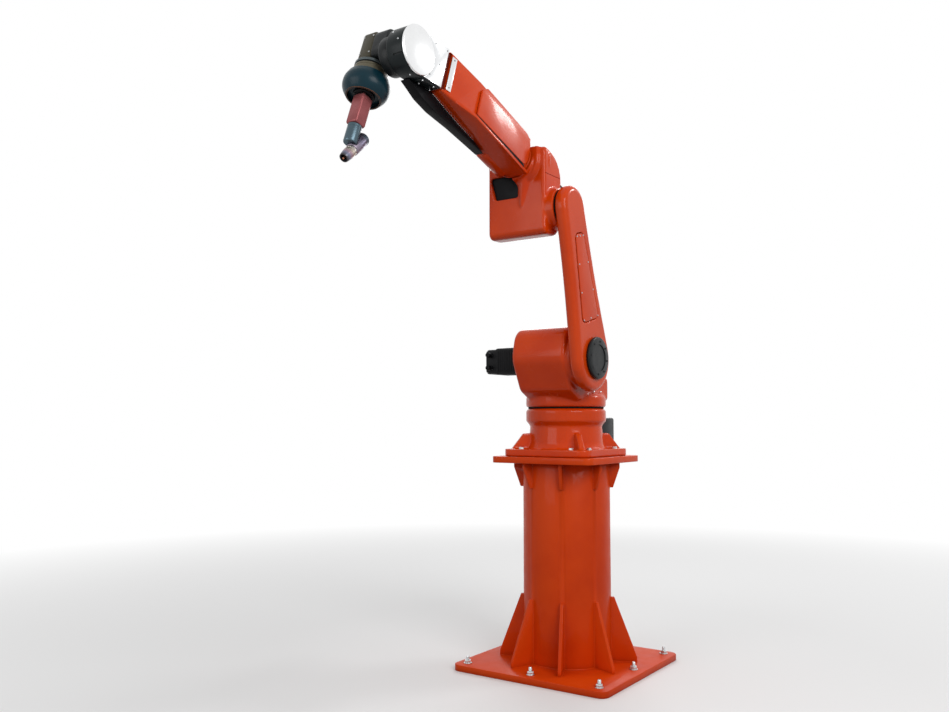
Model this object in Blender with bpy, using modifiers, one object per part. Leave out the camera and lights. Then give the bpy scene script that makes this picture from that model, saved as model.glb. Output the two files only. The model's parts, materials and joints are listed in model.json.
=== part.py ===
"""Six-axis arc-welding robot arm on a steel riser, with an offset wrist and a bent torch.

Metres, +Z up. The origin is the middle of the riser's floor plate, at floor level.
+X is forward, the way the arm reaches, and the arm's own plane is XZ.
The pose is that of a robot reaching over a tall workpiece with its torch pointing down.
"""

import math

import bmesh
import bpy
from mathutils import Matrix, Vector

# Pose at rest, in degrees: lean is forward from upright, rise is above level, dive is below level
LOWER_ARM_LEAN = 15.0
FOREARM_RISE = 18.0
TORCH_DIVE = 70.0
NECK_BEND = 27.0

# Running gap between bodies, and the hairline gap between pieces that touch
RUNNING_GAP = 0.006
SEAT = 0.0003

# Riser
FLOOR_PLATE_SIDE = 0.80
PLATE_THICKNESS = 0.030
RISER_HEIGHT = 1.00
COLUMN_RADIUS = 0.21
TOP_PLATE_SIDE = 0.54
GUSSET_THICKNESS = 0.015
GUSSET_REACH = 0.13
GUSSET_HEIGHT = 0.30
GUSSET_COUNT = 8
COLUMN_DOOR_WIDTH = 0.20
COLUMN_DOOR_HEIGHT = 0.30

# Robot base and carousel
BASE_FLANGE_SIDE = 0.46
BASE_FLANGE_THICKNESS = 0.035
BASE_RADIUS = 0.195
BASE_HEIGHT = 0.23
SHOULDER_RISE = 0.46
SHOULDER_FORWARD = 0.16
SHOULDER_RADIUS = 0.150
SHOULDER_BOSS_RADIUS = 0.128
DECK_DROP = 0.075
SHOULDER_LEFT = 0.125
SHOULDER_RIGHT = 0.180

# Lower arm, which stands beside the shoulder and the elbow
LOWER_ARM_LENGTH = 0.70
LOWER_ARM_THICKNESS = 0.062
LOWER_ARM_FOOT_RADIUS = 0.155
LOWER_ARM_HEAD_RADIUS = 0.099
LOWER_ARM_EDGE = 0.026
LOWER_ARM_WAIST = 0.010
COVER_RECESS = 0.012
COVER_END_GAP = 0.020

# Elbow casting
ELBOW_RISE = 0.17
ELBOW_LEFT = 0.165
ELBOW_RIGHT = 0.142
ELBOW_FRONT = 0.096
ELBOW_TOP = 0.286
ELBOW_BOTTOM = 0.125
ELBOW_BACK = 0.022
HUB_RADIUS = 0.094
POCKET_DEPTH = 0.030
POCKET_WIDTH = 0.150
POCKET_HEIGHT = 0.108
POCKET_RIM = 0.013
HORN_RADIUS = 0.036
FLANGE_START = 0.186
FLANGE_RADIUS = 0.087
FLANGE_THICKNESS = 0.008
BOSS_RADIUS = 0.120

# Forearm
FOREARM_REACH = 0.99
BLOCK_LENGTH = 0.185
TAPER_LENGTH = 0.185
FOREARM_HALF_WIDTH = 0.078
FRONT_HALF_WIDTH = 0.040
REAR_TOP = 0.098
REAR_BOTTOM = 0.088
TAPER_TOP = 0.105
TAPER_BOTTOM = 0.074
FRONT_TOP = 0.136
FRONT_BOTTOM = 0.056
SPIGOT_LENGTH = 0.011
PANEL_THICKNESS = 0.011
PANEL_REVEAL = 0.006
LIP_WIDTH = 0.012
LIP_HEIGHT = 0.013
CHAMFER = 0.036
GUARD_WIDTH = 0.044
GUARD_OFFSET = 0.030
GUARD_DROP = 0.120
GUARD_LENGTH = 0.535

# Wrist and torch
WRIST_RADIUS = 0.096
DISC_THICKNESS = 0.012
ROTOR_RADIUS = 0.080
ROTOR_END = 0.096
LINK_THICKNESS = 0.062
WRIST_OFFSET = 0.187
HOUSING_HALF = 0.046
COLLAR_START = 0.036
COLLAR_RADIUS = 0.070
BELL_START = 0.080
BELL_LENGTH = 0.092
BELL_MOUTH_RADIUS = 0.072
BELL_WIDEST_RADIUS = 0.096
BELL_WALL = 0.005
BELL_RECESS = 0.018
TORCH_BODY_LENGTH = 0.138
TORCH_BODY_WIDTH = 0.059
NECK_RADIUS = 0.0285
NECK_LENGTH = 0.082
NOZZLE_RADIUS = 0.0235
NOZZLE_LENGTH = 0.062
NOZZLE_WALL = 0.004
TIP_RADIUS = 0.0055

ROUND_SIDES = 48
SMALL_SIDES = 28


# Tools for making meshes

def material(name, colour, roughness, metallic):
    made = bpy.data.materials.new(name)
    made.use_nodes = True
    shader = made.node_tree.nodes["Principled BSDF"]
    shader.inputs["Base Color"].default_value = (*colour, 1.0)
    shader.inputs["Roughness"].default_value = roughness
    shader.inputs["Metallic"].default_value = metallic
    made.diffuse_color = (*colour, 1.0)
    return made


def object_from(bm, name):
    """A new mesh object, not yet in any collection but the scene's own."""
    mesh = bpy.data.meshes.new(name)
    bm.to_mesh(mesh)
    bm.free()
    made = bpy.data.objects.new(name, mesh)
    bpy.context.scene.collection.objects.link(made)
    return made


def finished(made, modifier_type, **settings):
    """The object with one modifier applied."""
    modifier = made.modifiers.new(modifier_type, modifier_type)
    for key, value in settings.items():
        setattr(modifier, key, value)
    graph = bpy.context.evaluated_depsgraph_get()
    mesh = bpy.data.meshes.new_from_object(made.evaluated_get(graph))
    made.modifiers.clear()
    made.data = mesh
    return made


def rounded(made, width, segments=2, angle=35.0):
    return finished(made, "BEVEL", width=width, segments=segments,
                    limit_method="ANGLE", angle_limit=math.radians(angle),
                    use_clamp_overlap=True, miter_outer="MITER_SHARP")


def boolean(made, other, operation):
    finished(made, "BOOLEAN", operation=operation, object=other, solver="EXACT")
    bpy.data.objects.remove(other)
    return made


def joined(made, *others):
    for other in others:
        boolean(made, other, "UNION")
    return made


def cut(made, *cutters):
    for cutter in cutters:
        boolean(made, cutter, "DIFFERENCE")
    return made


def box(name, low, high, edge=0.0, segments=2):
    bm = bmesh.new()
    bmesh.ops.create_cube(bm, size=1.0)
    size = Vector(high) - Vector(low)
    middle = (Vector(high) + Vector(low)) / 2
    bmesh.ops.scale(bm, vec=size, verts=bm.verts)
    bmesh.ops.translate(bm, vec=middle, verts=bm.verts)
    made = object_from(bm, name)
    return rounded(made, edge, segments) if edge else made


AXIS_TURNS = {
    "X": Matrix.Rotation(math.radians(90), 4, "Y"),
    "Y": Matrix.Rotation(math.radians(-90), 4, "X"),
    "Z": Matrix.Identity(4),
}


def rod(name, axis, start, end, radius, end_radius=None, centre=(0.0, 0.0), sides=ROUND_SIDES, edge=0.0):
    """A cylinder or cone along a local axis from start to end; centre is in the other two axes, in order."""
    bm = bmesh.new()
    bmesh.ops.create_cone(bm, cap_ends=True, segments=sides, radius1=radius,
                          radius2=radius if end_radius is None else end_radius, depth=end - start)
    bmesh.ops.translate(bm, vec=(0, 0, (start + end) / 2), verts=bm.verts)
    bmesh.ops.transform(bm, matrix=AXIS_TURNS[axis], verts=bm.verts)
    across = {"X": (0, *centre), "Y": (centre[0], 0, centre[1]), "Z": (*centre, 0)}[axis]
    bmesh.ops.translate(bm, vec=across, verts=bm.verts)
    made = object_from(bm, name)
    return rounded(made, edge) if edge else made


def turned(name, axis, profile, sides=ROUND_SIDES):
    """A solid of revolution: profile is (radius, height) from the top of the axis down its outer side and back."""
    bm = bmesh.new()
    rows = [bm.verts.new((radius, 0.0, height)) for radius, height in profile]
    for upper, lower in zip(rows, rows[1:]):
        bm.edges.new((upper, lower))
    made = object_from(bm, name)
    finished(made, "SCREW", steps=sides, render_steps=sides, angle=math.tau,
             use_merge_vertices=True, merge_threshold=0.00005, use_normal_calculate=True)
    bm = bmesh.new()
    bm.from_mesh(made.data)
    bmesh.ops.remove_doubles(bm, verts=bm.verts, dist=0.00005)
    bmesh.ops.recalc_face_normals(bm, faces=bm.faces)
    bm.to_mesh(made.data)
    bm.free()
    made.data.transform(AXIS_TURNS[axis])
    return made


def round_corners(corners, steps=6):
    """Points of an outline whose corners (x, z, radius) are replaced by arcs."""
    points = []
    count = len(corners)
    for i, (x, z, radius) in enumerate(corners):
        here = Vector((x, z))
        back = (Vector(corners[i - 1][:2]) - here).normalized()
        ahead = (Vector(corners[(i + 1) % count][:2]) - here).normalized()
        half = back.angle(ahead) / 2
        if radius == 0 or half > math.radians(88):
            points.append(here)
            continue
        centre = here + (back + ahead).normalized() * radius / math.sin(half)
        start = here + back * radius / math.tan(half) - centre
        sweep = math.pi - 2 * half
        turn = 1 if back.cross(ahead) < 0 else -1
        for k in range(steps + 1):
            a = turn * sweep * k / steps
            points.append(centre + Vector((start.x * math.cos(a) - start.y * math.sin(a),
                                           start.x * math.sin(a) + start.y * math.cos(a))))
    return points


def link_outline(length, foot_radius, head_radius, waist, steps=14):
    """The outline of an arm that joins two round ends along +z, slimmer by waist at its middle."""
    lean = math.asin((foot_radius - head_radius) / length)
    points = []
    for k in range(steps + 1):
        a = lean + (math.pi - 2 * lean) * k / steps
        points.append(Vector((head_radius * math.cos(a), length + head_radius * math.sin(a))))
    side_start, side_end = points[-1], Vector((-foot_radius * math.cos(lean), foot_radius * math.sin(lean)))
    left = [side_start.lerp(side_end, t) + Vector((waist * math.sin(math.pi * t), 0))
            for t in (0.15, 0.3, 0.45, 0.6, 0.75, 0.9)]
    foot = []
    for k in range(steps + 1):
        a = math.pi - lean + (math.pi + 2 * lean) * k / steps
        foot.append(Vector((foot_radius * math.cos(a), foot_radius * math.sin(a))))
    right = [Vector((-p.x, p.y)) for p in reversed(left)]
    return points + left + foot + right


def plate(name, outline, low, high, edge=0.0, resolution=3):
    """A flat outline in XZ, thick from y = low to y = high, with rounded rims if edge is set."""
    curve = bpy.data.curves.new(name, "CURVE")
    curve.dimensions = "2D"
    curve.fill_mode = "BOTH"
    curve.extrude = (high - low) / 2 - edge
    curve.bevel_depth = edge
    curve.offset = -edge
    curve.bevel_resolution = resolution
    spline = curve.splines.new("POLY")
    spline.points.add(len(outline) - 1)
    for point, place in zip(spline.points, outline):
        point.co = (place[0], place[1], 0, 1)
    spline.use_cyclic_u = True
    flat = bpy.data.objects.new(name, curve)
    bpy.context.scene.collection.objects.link(flat)
    graph = bpy.context.evaluated_depsgraph_get()
    graph.update()
    mesh = bpy.data.meshes.new_from_object(flat.evaluated_get(graph))
    bpy.data.objects.remove(flat)
    bm = bmesh.new()
    bm.from_mesh(mesh)
    bmesh.ops.remove_doubles(bm, verts=bm.verts, dist=0.00002)
    bmesh.ops.rotate(bm, matrix=Matrix.Rotation(math.radians(90), 3, "X"), verts=bm.verts)
    bmesh.ops.translate(bm, vec=(0, (low + high) / 2, 0), verts=bm.verts)
    bmesh.ops.recalc_face_normals(bm, faces=bm.faces)
    return object_from(bm, name)


def turned_by(outline, degrees):
    """The outline turned about the origin, positive from +x towards +z."""
    c, s = math.cos(math.radians(degrees)), math.sin(math.radians(degrees))
    return [(x * c - z * s, x * s + z * c, *rest) for x, z, *rest in outline]


def moved(made, matrix):
    made.data.transform(matrix)
    return made


# Bodies and their joint axes

def frame(name, parent, place, pitch):
    """An empty at a joint's axis. Pitch turns it nose down about +Y, in degrees, against its parent."""
    empty = bpy.data.objects.new(name, None)
    empty.empty_display_size = 0.1
    PARTS.objects.link(empty)
    empty.parent = parent
    empty.location = place
    empty.rotation_euler = (0, math.radians(pitch), 0)
    return empty


def placed(made, parent, finish, smooth_angle=32.0):
    """Puts a finished piece on its body."""
    bpy.context.scene.collection.objects.unlink(made)
    PARTS.objects.link(made)
    made.parent = parent
    made.data.materials.clear()
    made.data.materials.append(finish)
    made.data.shade_smooth()
    made.data.set_sharp_from_angle(angle=math.radians(smooth_angle))
    return made


# Riser: floor plate, column, gussets and top plate

def flat_plate(name, side, bottom, top, corner=0.04):
    bm = bmesh.new()
    bmesh.ops.create_cube(bm, size=1.0)
    bmesh.ops.scale(bm, vec=(side, side, top - bottom), verts=bm.verts)
    bmesh.ops.translate(bm, vec=(0, 0, (bottom + top) / 2), verts=bm.verts)
    uprights = [e for e in bm.edges if abs(e.verts[0].co.z - e.verts[1].co.z) > 1e-6]
    bmesh.ops.bevel(bm, geom=uprights, offset=corner, segments=4, profile=0.5, affect="EDGES")
    return object_from(bm, name)


def gussets(name, radius, reach, height, base, up):
    """Triangular plates that brace the column against a plate at height base, above it (up = 1) or below it."""
    pieces = []
    toe = 0.025
    corners = [(radius, base), (radius + reach, base), (radius + reach, base + up * toe),
               (radius + toe, base + up * height), (radius, base + up * height)]
    if up < 0:
        corners.reverse()
    for k in range(GUSSET_COUNT):
        piece = plate(name, corners, -GUSSET_THICKNESS / 2, GUSSET_THICKNESS / 2)
        turn = math.tau * (k + 0.5) / GUSSET_COUNT
        pieces.append(moved(piece, Matrix.Rotation(turn, 4, "Z")))
    return pieces


def build_riser(root):
    placed(flat_plate("floor_plate", FLOOR_PLATE_SIDE, 0, PLATE_THICKNESS), root, ORANGE)
    column_low, column_high = PLATE_THICKNESS + SEAT, RISER_HEIGHT - PLATE_THICKNESS - SEAT
    column = rod("riser_column", "Z", column_low, column_high, COLUMN_RADIUS, sides=64)
    inside = COLUMN_RADIUS - 0.01
    head_reach = TOP_PLATE_SIDE / 2 - inside - 0.012
    foot_gussets = gussets("foot_gusset", inside, GUSSET_REACH, GUSSET_HEIGHT, column_low, 1)
    head_gussets = gussets("head_gusset", inside, head_reach, 0.12, column_high, -1)
    placed(joined(column, *foot_gussets, *head_gussets), root, ORANGE)
    # The access door's sheet stands off the round column on its own frame, at the back
    door_low = 0.42
    door_depth = 0.020
    door = box("riser_door", (-COLUMN_RADIUS - door_depth, -COLUMN_DOOR_WIDTH / 2, door_low),
               (-COLUMN_RADIUS + 0.05, COLUMN_DOOR_WIDTH / 2, door_low + COLUMN_DOOR_HEIGHT), edge=0.006)
    placed(cut(door, rod("door_seat", "Z", 0, 1, COLUMN_RADIUS + SEAT, sides=64)), root, DARK_GREY)
    placed(flat_plate("riser_top_plate", TOP_PLATE_SIDE, RISER_HEIGHT - PLATE_THICKNESS, RISER_HEIGHT),
           root, ORANGE)


# Robot base: flanged casting and the connector box behind it

def build_base(root):
    bottom = RISER_HEIGHT + SEAT
    top = RISER_HEIGHT + BASE_HEIGHT
    flange = flat_plate("base_casting", BASE_FLANGE_SIDE, bottom, bottom + BASE_FLANGE_THICKNESS, corner=0.05)
    drum = turned("base_drum", "Z", [(0, top), (BASE_RADIUS - 0.012, top), (BASE_RADIUS, top - 0.012),
                                     (BASE_RADIUS, top - 0.06), (BASE_RADIUS - 0.02, top - 0.085),
                                     (BASE_RADIUS - 0.012, bottom + 0.06), (BASE_RADIUS + 0.012, bottom + 0.012),
                                     (0, bottom + 0.012)])
    ribs = []
    for k in range(4):
        rib = box("base_rib", (0.12, -0.014, bottom + 0.01), (BASE_FLANGE_SIDE / 2 + 0.045, 0.014, bottom + 0.11))
        slope = box("rib_slope", (0.0, -0.03, 0.0), (0.25, 0.03, 0.2))
        lean = Matrix.Translation((BASE_RADIUS + 0.004, 0, top - 0.10)) @ Matrix.Rotation(math.radians(52), 4, "Y")
        rib = cut(rib, moved(slope, lean))
        ribs.append(moved(rib, Matrix.Rotation(math.radians(45 + 90 * k), 4, "Z")))
    placed(joined(flange, drum, *ribs), root, ORANGE)
    back = -BASE_RADIUS - 0.115
    plinth = bottom + BASE_FLANGE_THICKNESS + SEAT
    connector_box = box("connector_box", (back, -0.11, plinth), (-0.10, 0.11, plinth + 0.15), edge=0.010)
    seat = rod("box_seat", "Z", bottom, top, BASE_RADIUS + 0.012 + SEAT)
    placed(cut(connector_box, seat), root, DARK_GREY)
    panel_low, panel_high = back - 0.006, back - SEAT
    panel = box("connector_panel", (panel_low, -0.098, plinth + 0.012), (panel_high, 0.098, plinth + 0.138))
    sockets = []
    for y, z, radius in ((-0.065, 0.105, 0.021), (0.0, 0.105, 0.021), (0.065, 0.105, 0.021),
                         (-0.04, 0.045, 0.016), (0.04, 0.045, 0.016)):
        sockets.append(rod("socket", "X", panel_low - 0.020, panel_high - 0.002, radius,
                           centre=(y, plinth + z), sides=20, edge=0.003))
    placed(joined(panel, *sockets), root, BLACK)


# Carousel: turret casting, shoulder drive and motors

def motor(name, axis, start, end, width, centre):
    """A servo motor: a square body with chamfered corners."""
    half = width / 2
    low, high = min(start, end), max(start, end)
    body = box(name, (-half, -half, low), (half, half, high), edge=0.14 * width, segments=1)
    body.data.transform(AXIS_TURNS[axis])
    across = {"X": (0, *centre), "Y": (centre[0], 0, centre[1]), "Z": (*centre, 0)}[axis]
    return moved(body, Matrix.Translation(across))


def build_carousel(root):
    low = RISER_HEIGHT + BASE_HEIGHT + RUNNING_GAP
    shoulder = RISER_HEIGHT + SHOULDER_RISE
    deck = shoulder - DECK_DROP
    seat = RISER_HEIGHT + BASE_HEIGHT + SEAT
    body = frame("carousel_axis", root, (0, 0, 0), 0)
    skirt = turned("carousel_casting", "Z", [(0, low + 0.085), (0.150, low + 0.085), (0.185, low + 0.06),
                                             (0.195, low + 0.045), (0.195, low + 0.006), (0.189, low),
                                             (0.150, low), (0.150, seat), (0, seat)])
    outline = round_corners([
        (-0.150, low + 0.03, 0.02), (0.150, low + 0.03, 0.02), (0.235, shoulder - 0.15, 0.05),
        (SHOULDER_FORWARD + SHOULDER_RADIUS, shoulder, 0.10),
        (SHOULDER_FORWARD + 0.115, shoulder + SHOULDER_RADIUS, 0.085),
        (SHOULDER_FORWARD - 0.085, shoulder + SHOULDER_RADIUS, 0.085),
        (-0.012, deck, 0.03), (-0.150, deck, 0.02)])
    cheeks = plate("cheeks", outline, -SHOULDER_LEFT, SHOULDER_RIGHT - 0.020, edge=0.018)
    boss = rod("boss", "Y", SHOULDER_RIGHT - 0.06, SHOULDER_RIGHT, SHOULDER_BOSS_RADIUS,
               centre=(SHOULDER_FORWARD, shoulder))
    pad = rod("pad", "Y", -SHOULDER_LEFT - 0.012, -SHOULDER_LEFT + 0.05, 0.105, centre=(SHOULDER_FORWARD, shoulder))
    placed(joined(skirt, cheeks, boss, pad), body, ORANGE)
    side = -SHOULDER_LEFT - 0.012 - SEAT
    placed(motor("shoulder_motor", "Y", side - 0.19, side, 0.130, (SHOULDER_FORWARD, shoulder)), body, BLACK)
    placed(motor("turret_motor", "Z", deck + SEAT, deck + 0.19, 0.105, (-0.082, -0.035)), body, BLACK)
    return body


# Lower arm: one casting with a recessed cover, beside shoulder and elbow

def build_lower_arm(carousel):
    body = frame("lower_arm_axis", carousel, (SHOULDER_FORWARD, 0, RISER_HEIGHT + SHOULDER_RISE), LOWER_ARM_LEAN)
    inner = SHOULDER_RIGHT + RUNNING_GAP
    outer = inner + LOWER_ARM_THICKNESS
    outline = link_outline(LOWER_ARM_LENGTH, LOWER_ARM_FOOT_RADIUS, LOWER_ARM_HEAD_RADIUS, LOWER_ARM_WAIST)
    arm = plate("lower_arm_casting", outline, inner, outer, edge=LOWER_ARM_EDGE)
    cover_low = LOWER_ARM_FOOT_RADIUS + COVER_END_GAP
    cover_high = LOWER_ARM_LENGTH - LOWER_ARM_HEAD_RADIUS - COVER_END_GAP
    foot_half = LOWER_ARM_FOOT_RADIUS - LOWER_ARM_WAIST - 0.064
    head_half = LOWER_ARM_HEAD_RADIUS - LOWER_ARM_WAIST - 0.047

    def cover_shape(inset, corner):
        return round_corners([(-foot_half + inset, cover_low + inset, corner),
                              (foot_half - inset, cover_low + inset, corner),
                              (head_half - inset, cover_high - inset, corner),
                              (-head_half + inset, cover_high - inset, corner)])

    recess = plate("recess", cover_shape(0.0, 0.030), outer - COVER_RECESS, outer + 0.05)
    arm = cut(arm, recess)
    foot_seat = rod("foot_seat", "Y", SHOULDER_RIGHT + SEAT, inner + 0.01, SHOULDER_BOSS_RADIUS - 0.016)
    head_seat = rod("head_seat", "Y", SHOULDER_RIGHT + SEAT, inner + 0.01, HUB_RADIUS - 0.016,
                    centre=(0, LOWER_ARM_LENGTH))
    placed(joined(arm, foot_seat, head_seat), body, ORANGE)
    cover = plate("lower_arm_cover", cover_shape(0.004, 0.026), outer - COVER_RECESS + SEAT, outer + 0.002,
                  edge=0.003)
    placed(cover, body, ORANGE)
    placed(rod("shoulder_cap", "Y", outer + SEAT, outer + 0.020, 0.098, edge=0.008), body, DARK_GREY)
    return body


# Elbow: casting with the forearm's bearing, motors behind and a covered pocket in front

def build_elbow(lower_arm):
    body = frame("elbow_axis", lower_arm, (0, 0, LOWER_ARM_LENGTH), -FOREARM_RISE - LOWER_ARM_LEAN)
    upright = turned_by([(ELBOW_FRONT, -ELBOW_BOTTOM, 0.03), (ELBOW_FRONT, ELBOW_TOP, 0.022)], -FOREARM_RISE)
    top = ELBOW_RISE + 0.076
    rear = [(-ELBOW_BACK, top, 0.13), (-ELBOW_BACK, 0.055, 0.02), (-HUB_RADIUS, 0.0, 0.05), (-0.050, -0.112, 0.06)]
    outline = round_corners([*upright, *rear])
    casting = plate("elbow_casting", outline, -ELBOW_LEFT, ELBOW_RIGHT, edge=0.014)
    hub = rod("hub", "Y", 0.05, SHOULDER_RIGHT, HUB_RADIUS)
    to_upright = Matrix.Rotation(math.radians(FOREARM_RISE), 4, "Y")
    # The boss about the roll axis stands on the upright face, and its top is cut level with the casting
    boss_rise = ELBOW_TOP - 0.064
    boss_end = FLANGE_START - RUNNING_GAP
    boss = rod("boss", "X", 0.05, ELBOW_FRONT + 0.018, BOSS_RADIUS + 0.022, end_radius=BOSS_RADIUS - 0.014,
               centre=(0.006, boss_rise))
    bearing = rod("bearing", "X", 0.02, 0.4, FLANGE_RADIUS + 0.006, centre=(0, ELBOW_RISE))
    boss = joined(moved(boss, to_upright), bearing)
    boss = cut(boss, box("beyond", (boss_end, -0.3, -0.2), (0.5, 0.3, 0.6)),
               box("above", (-0.2, -0.3, top - 0.006), (0.5, 0.3, 0.6)))
    pocket_left, pocket_right = -ELBOW_LEFT + POCKET_RIM, -ELBOW_LEFT + POCKET_RIM + POCKET_WIDTH
    pocket_low, pocket_high = 0.058, 0.058 + POCKET_HEIGHT
    floor = ELBOW_FRONT - POCKET_DEPTH

    def pocket_shape(inset, low, high):
        """The pocket's outline in YZ, slanted on its left, thick along x from low to high."""
        corners = [(pocket_left + inset, pocket_high - inset, 0.010),
                   (pocket_left + 0.028 + inset, pocket_low + inset, 0.010),
                   (pocket_right - inset, pocket_low + inset, 0.006),
                   (pocket_right - inset, pocket_high - inset, 0.006)]
        shape = plate("pocket", round_corners(corners, steps=3), -high, -low)
        return moved(shape, to_upright @ Matrix.Rotation(math.radians(90), 4, "Z"))

    seat = rod("seat", "X", 0.1, FLANGE_START - SEAT, FLANGE_RADIUS - 0.020, centre=(0, ELBOW_RISE))
    casting = cut(joined(casting, hub, boss, seat), pocket_shape(0.0, floor, floor + 0.2))
    horn = rod("horn", "Z", 0.0, 0.155, 0.006, end_radius=HORN_RADIUS, sides=32)
    horn_lean = Matrix.Translation((ELBOW_FRONT - 0.001, pocket_right + 0.019, 0.014)) @ Matrix.Rotation(
        math.radians(-7.8), 4, "X")
    deck_back = -ELBOW_BACK - 0.002
    deck = box("motor_deck", (deck_back, -0.136, 0.080), (0.05, 0.118, 0.174), edge=0.004)
    casting = joined(casting, moved(horn, to_upright @ horn_lean), deck)
    placed(casting, body, ORANGE)
    cover = pocket_shape(SEAT, floor + SEAT, floor + 0.020)
    cover.name = "elbow_pocket_cover"
    placed(cover, body, BLACK)
    for name, y, z, width in (("roll_motor", -0.094, 0.122, 0.078), ("bend_motor", -0.006, 0.118, 0.074),
                              ("twist_motor", 0.078, 0.134, 0.074)):
        placed(motor(name, "X", deck_back - 0.13, deck_back - SEAT, width, (y, z)), body, BLACK)
    return body


# Forearm: tapered box casting, side panels, wrist block and hose guard

def tapered_box(name, stations):
    """A box along x, given at each station as (x, right, left, low, high, chamfer low on the right)."""
    bm = bmesh.new()
    rings = []
    for x, right, left, low, high, chamfer in stations:
        rings.append([bm.verts.new((x, y, z)) for y, z in (
            (-right, low + chamfer), (-right + chamfer, low), (left, low), (left, high), (-right, high))])
    for ring, following in zip(rings, rings[1:]):
        for k in range(5):
            bm.faces.new((ring[k], ring[(k + 1) % 5], following[(k + 1) % 5], following[k]))
    bm.faces.new(rings[0])
    bm.faces.new(list(reversed(rings[-1])))
    bmesh.ops.recalc_face_normals(bm, faces=bm.faces)
    return object_from(bm, name)


def between(low, high, share):
    return low + (high - low) * share


def build_forearm(elbow):
    body = frame("forearm_axis", elbow, (0, 0, ELBOW_RISE), 0)
    box_start = FLANGE_START + FLANGE_THICKNESS + SEAT
    front = FOREARM_REACH - BLOCK_LENGTH
    taper_start = front - TAPER_LENGTH
    half, front_half = FOREARM_HALF_WIDTH, FRONT_HALF_WIDTH
    rounded_end = box_start + 0.045
    shell = tapered_box("forearm_casting", [
        (box_start, half - 0.030, half, -REAR_BOTTOM, REAR_TOP, CHAMFER),
        (rounded_end, half, half, -REAR_BOTTOM, REAR_TOP, CHAMFER),
        (taper_start, half, half, -TAPER_BOTTOM, TAPER_TOP, CHAMFER),
        (front, front_half, front_half, -FRONT_BOTTOM, FRONT_TOP, 0.010)])
    shell = rounded(shell, 0.012, segments=3, angle=24)
    placed(rod("forearm_flange", "X", FLANGE_START, FLANGE_START + FLANGE_THICKNESS, FLANGE_RADIUS, edge=0.002),
           body, ORANGE)
    lobe = rod("lobe", "X", box_start + 0.020, between(box_start, taper_start, 0.46), 0.044, end_radius=0.042,
               centre=(-half + 0.0445, -REAR_BOTTOM + 0.036), sides=32, edge=0.010)
    inset = 0.007
    spigot = box("spigot", (front - 0.02, -front_half + inset, -FRONT_BOTTOM + inset),
                 (front + SPIGOT_LENGTH, front_half - inset, FRONT_TOP - inset))
    # The lip runs along the left bottom edge and dies out half way down the taper
    ledge = half + LIP_WIDTH
    lip_end = 0.55
    dying = between(half, front_half, lip_end)
    dying_low = -between(TAPER_BOTTOM, FRONT_BOTTOM, lip_end)
    lip = tapered_box("lip", [
        (box_start, 0.0, ledge, -REAR_BOTTOM - 0.0004, -REAR_BOTTOM + LIP_HEIGHT, 0.001),
        (taper_start, 0.0, ledge, -TAPER_BOTTOM - 0.0004, -TAPER_BOTTOM + LIP_HEIGHT, 0.001),
        (between(taper_start, front, lip_end), 0.0, dying, dying_low - 0.0004, dying_low + LIP_HEIGHT, 0.001)])
    placed(joined(shell, lobe, spigot, rounded(lip, 0.003)), body, ORANGE)
    length = taper_start - box_start - 0.006
    panel_outline = round_corners([
        (0.010, -REAR_BOTTOM + LIP_HEIGHT + 2 * PANEL_REVEAL, 0.045),
        (length, -TAPER_BOTTOM + LIP_HEIGHT + PANEL_REVEAL, 0.008),
        (length, 0.67 * TAPER_TOP, 0.020), (length - 0.035, TAPER_TOP - PANEL_REVEAL, 0.012),
        (0.010, REAR_TOP - PANEL_REVEAL, 0.055)], steps=5)
    right_outline = round_corners([
        (0.060, -REAR_BOTTOM + CHAMFER + 0.014, 0.020), (length, -TAPER_BOTTOM + CHAMFER + 0.014, 0.010),
        (length, TAPER_TOP - PANEL_REVEAL - 0.010, 0.020), (0.060, REAR_TOP - PANEL_REVEAL - 0.010, 0.030)], steps=4)
    for side, name, panel_outline in ((1, "side_panel_left", panel_outline), (-1, "side_panel_right", right_outline)):
        low_y, high_y = sorted((side * (FOREARM_HALF_WIDTH + SEAT),
                                side * (FOREARM_HALF_WIDTH + SEAT + PANEL_THICKNESS)))
        panel = plate(name, panel_outline, low_y, high_y, edge=0.004)
        placed(moved(panel, Matrix.Translation((box_start, 0, 0))), body, ORANGE)
    build_wrist_block(body, front, taper_start, box_start)
    return body


def block_outline(start, low, high, radius, steps=20):
    """From a flat rear at x = start, round the wrist axis at the given radius and back, by two tangents."""
    points = []
    for z, turn in ((-low, 1), (high, -1)):
        reach = math.hypot(FOREARM_REACH - start, z)
        points.append((math.atan2(z, start - FOREARM_REACH) + turn * math.acos(radius / reach)) % math.tau)
    low_angle, high_angle = points[0] - math.tau, points[1]
    arc = [(FOREARM_REACH + radius * math.cos(between(low_angle, high_angle, k / steps)),
            radius * math.sin(between(low_angle, high_angle, k / steps))) for k in range(steps + 1)]
    return [(start, -low), *arc, (start, high)]


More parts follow.
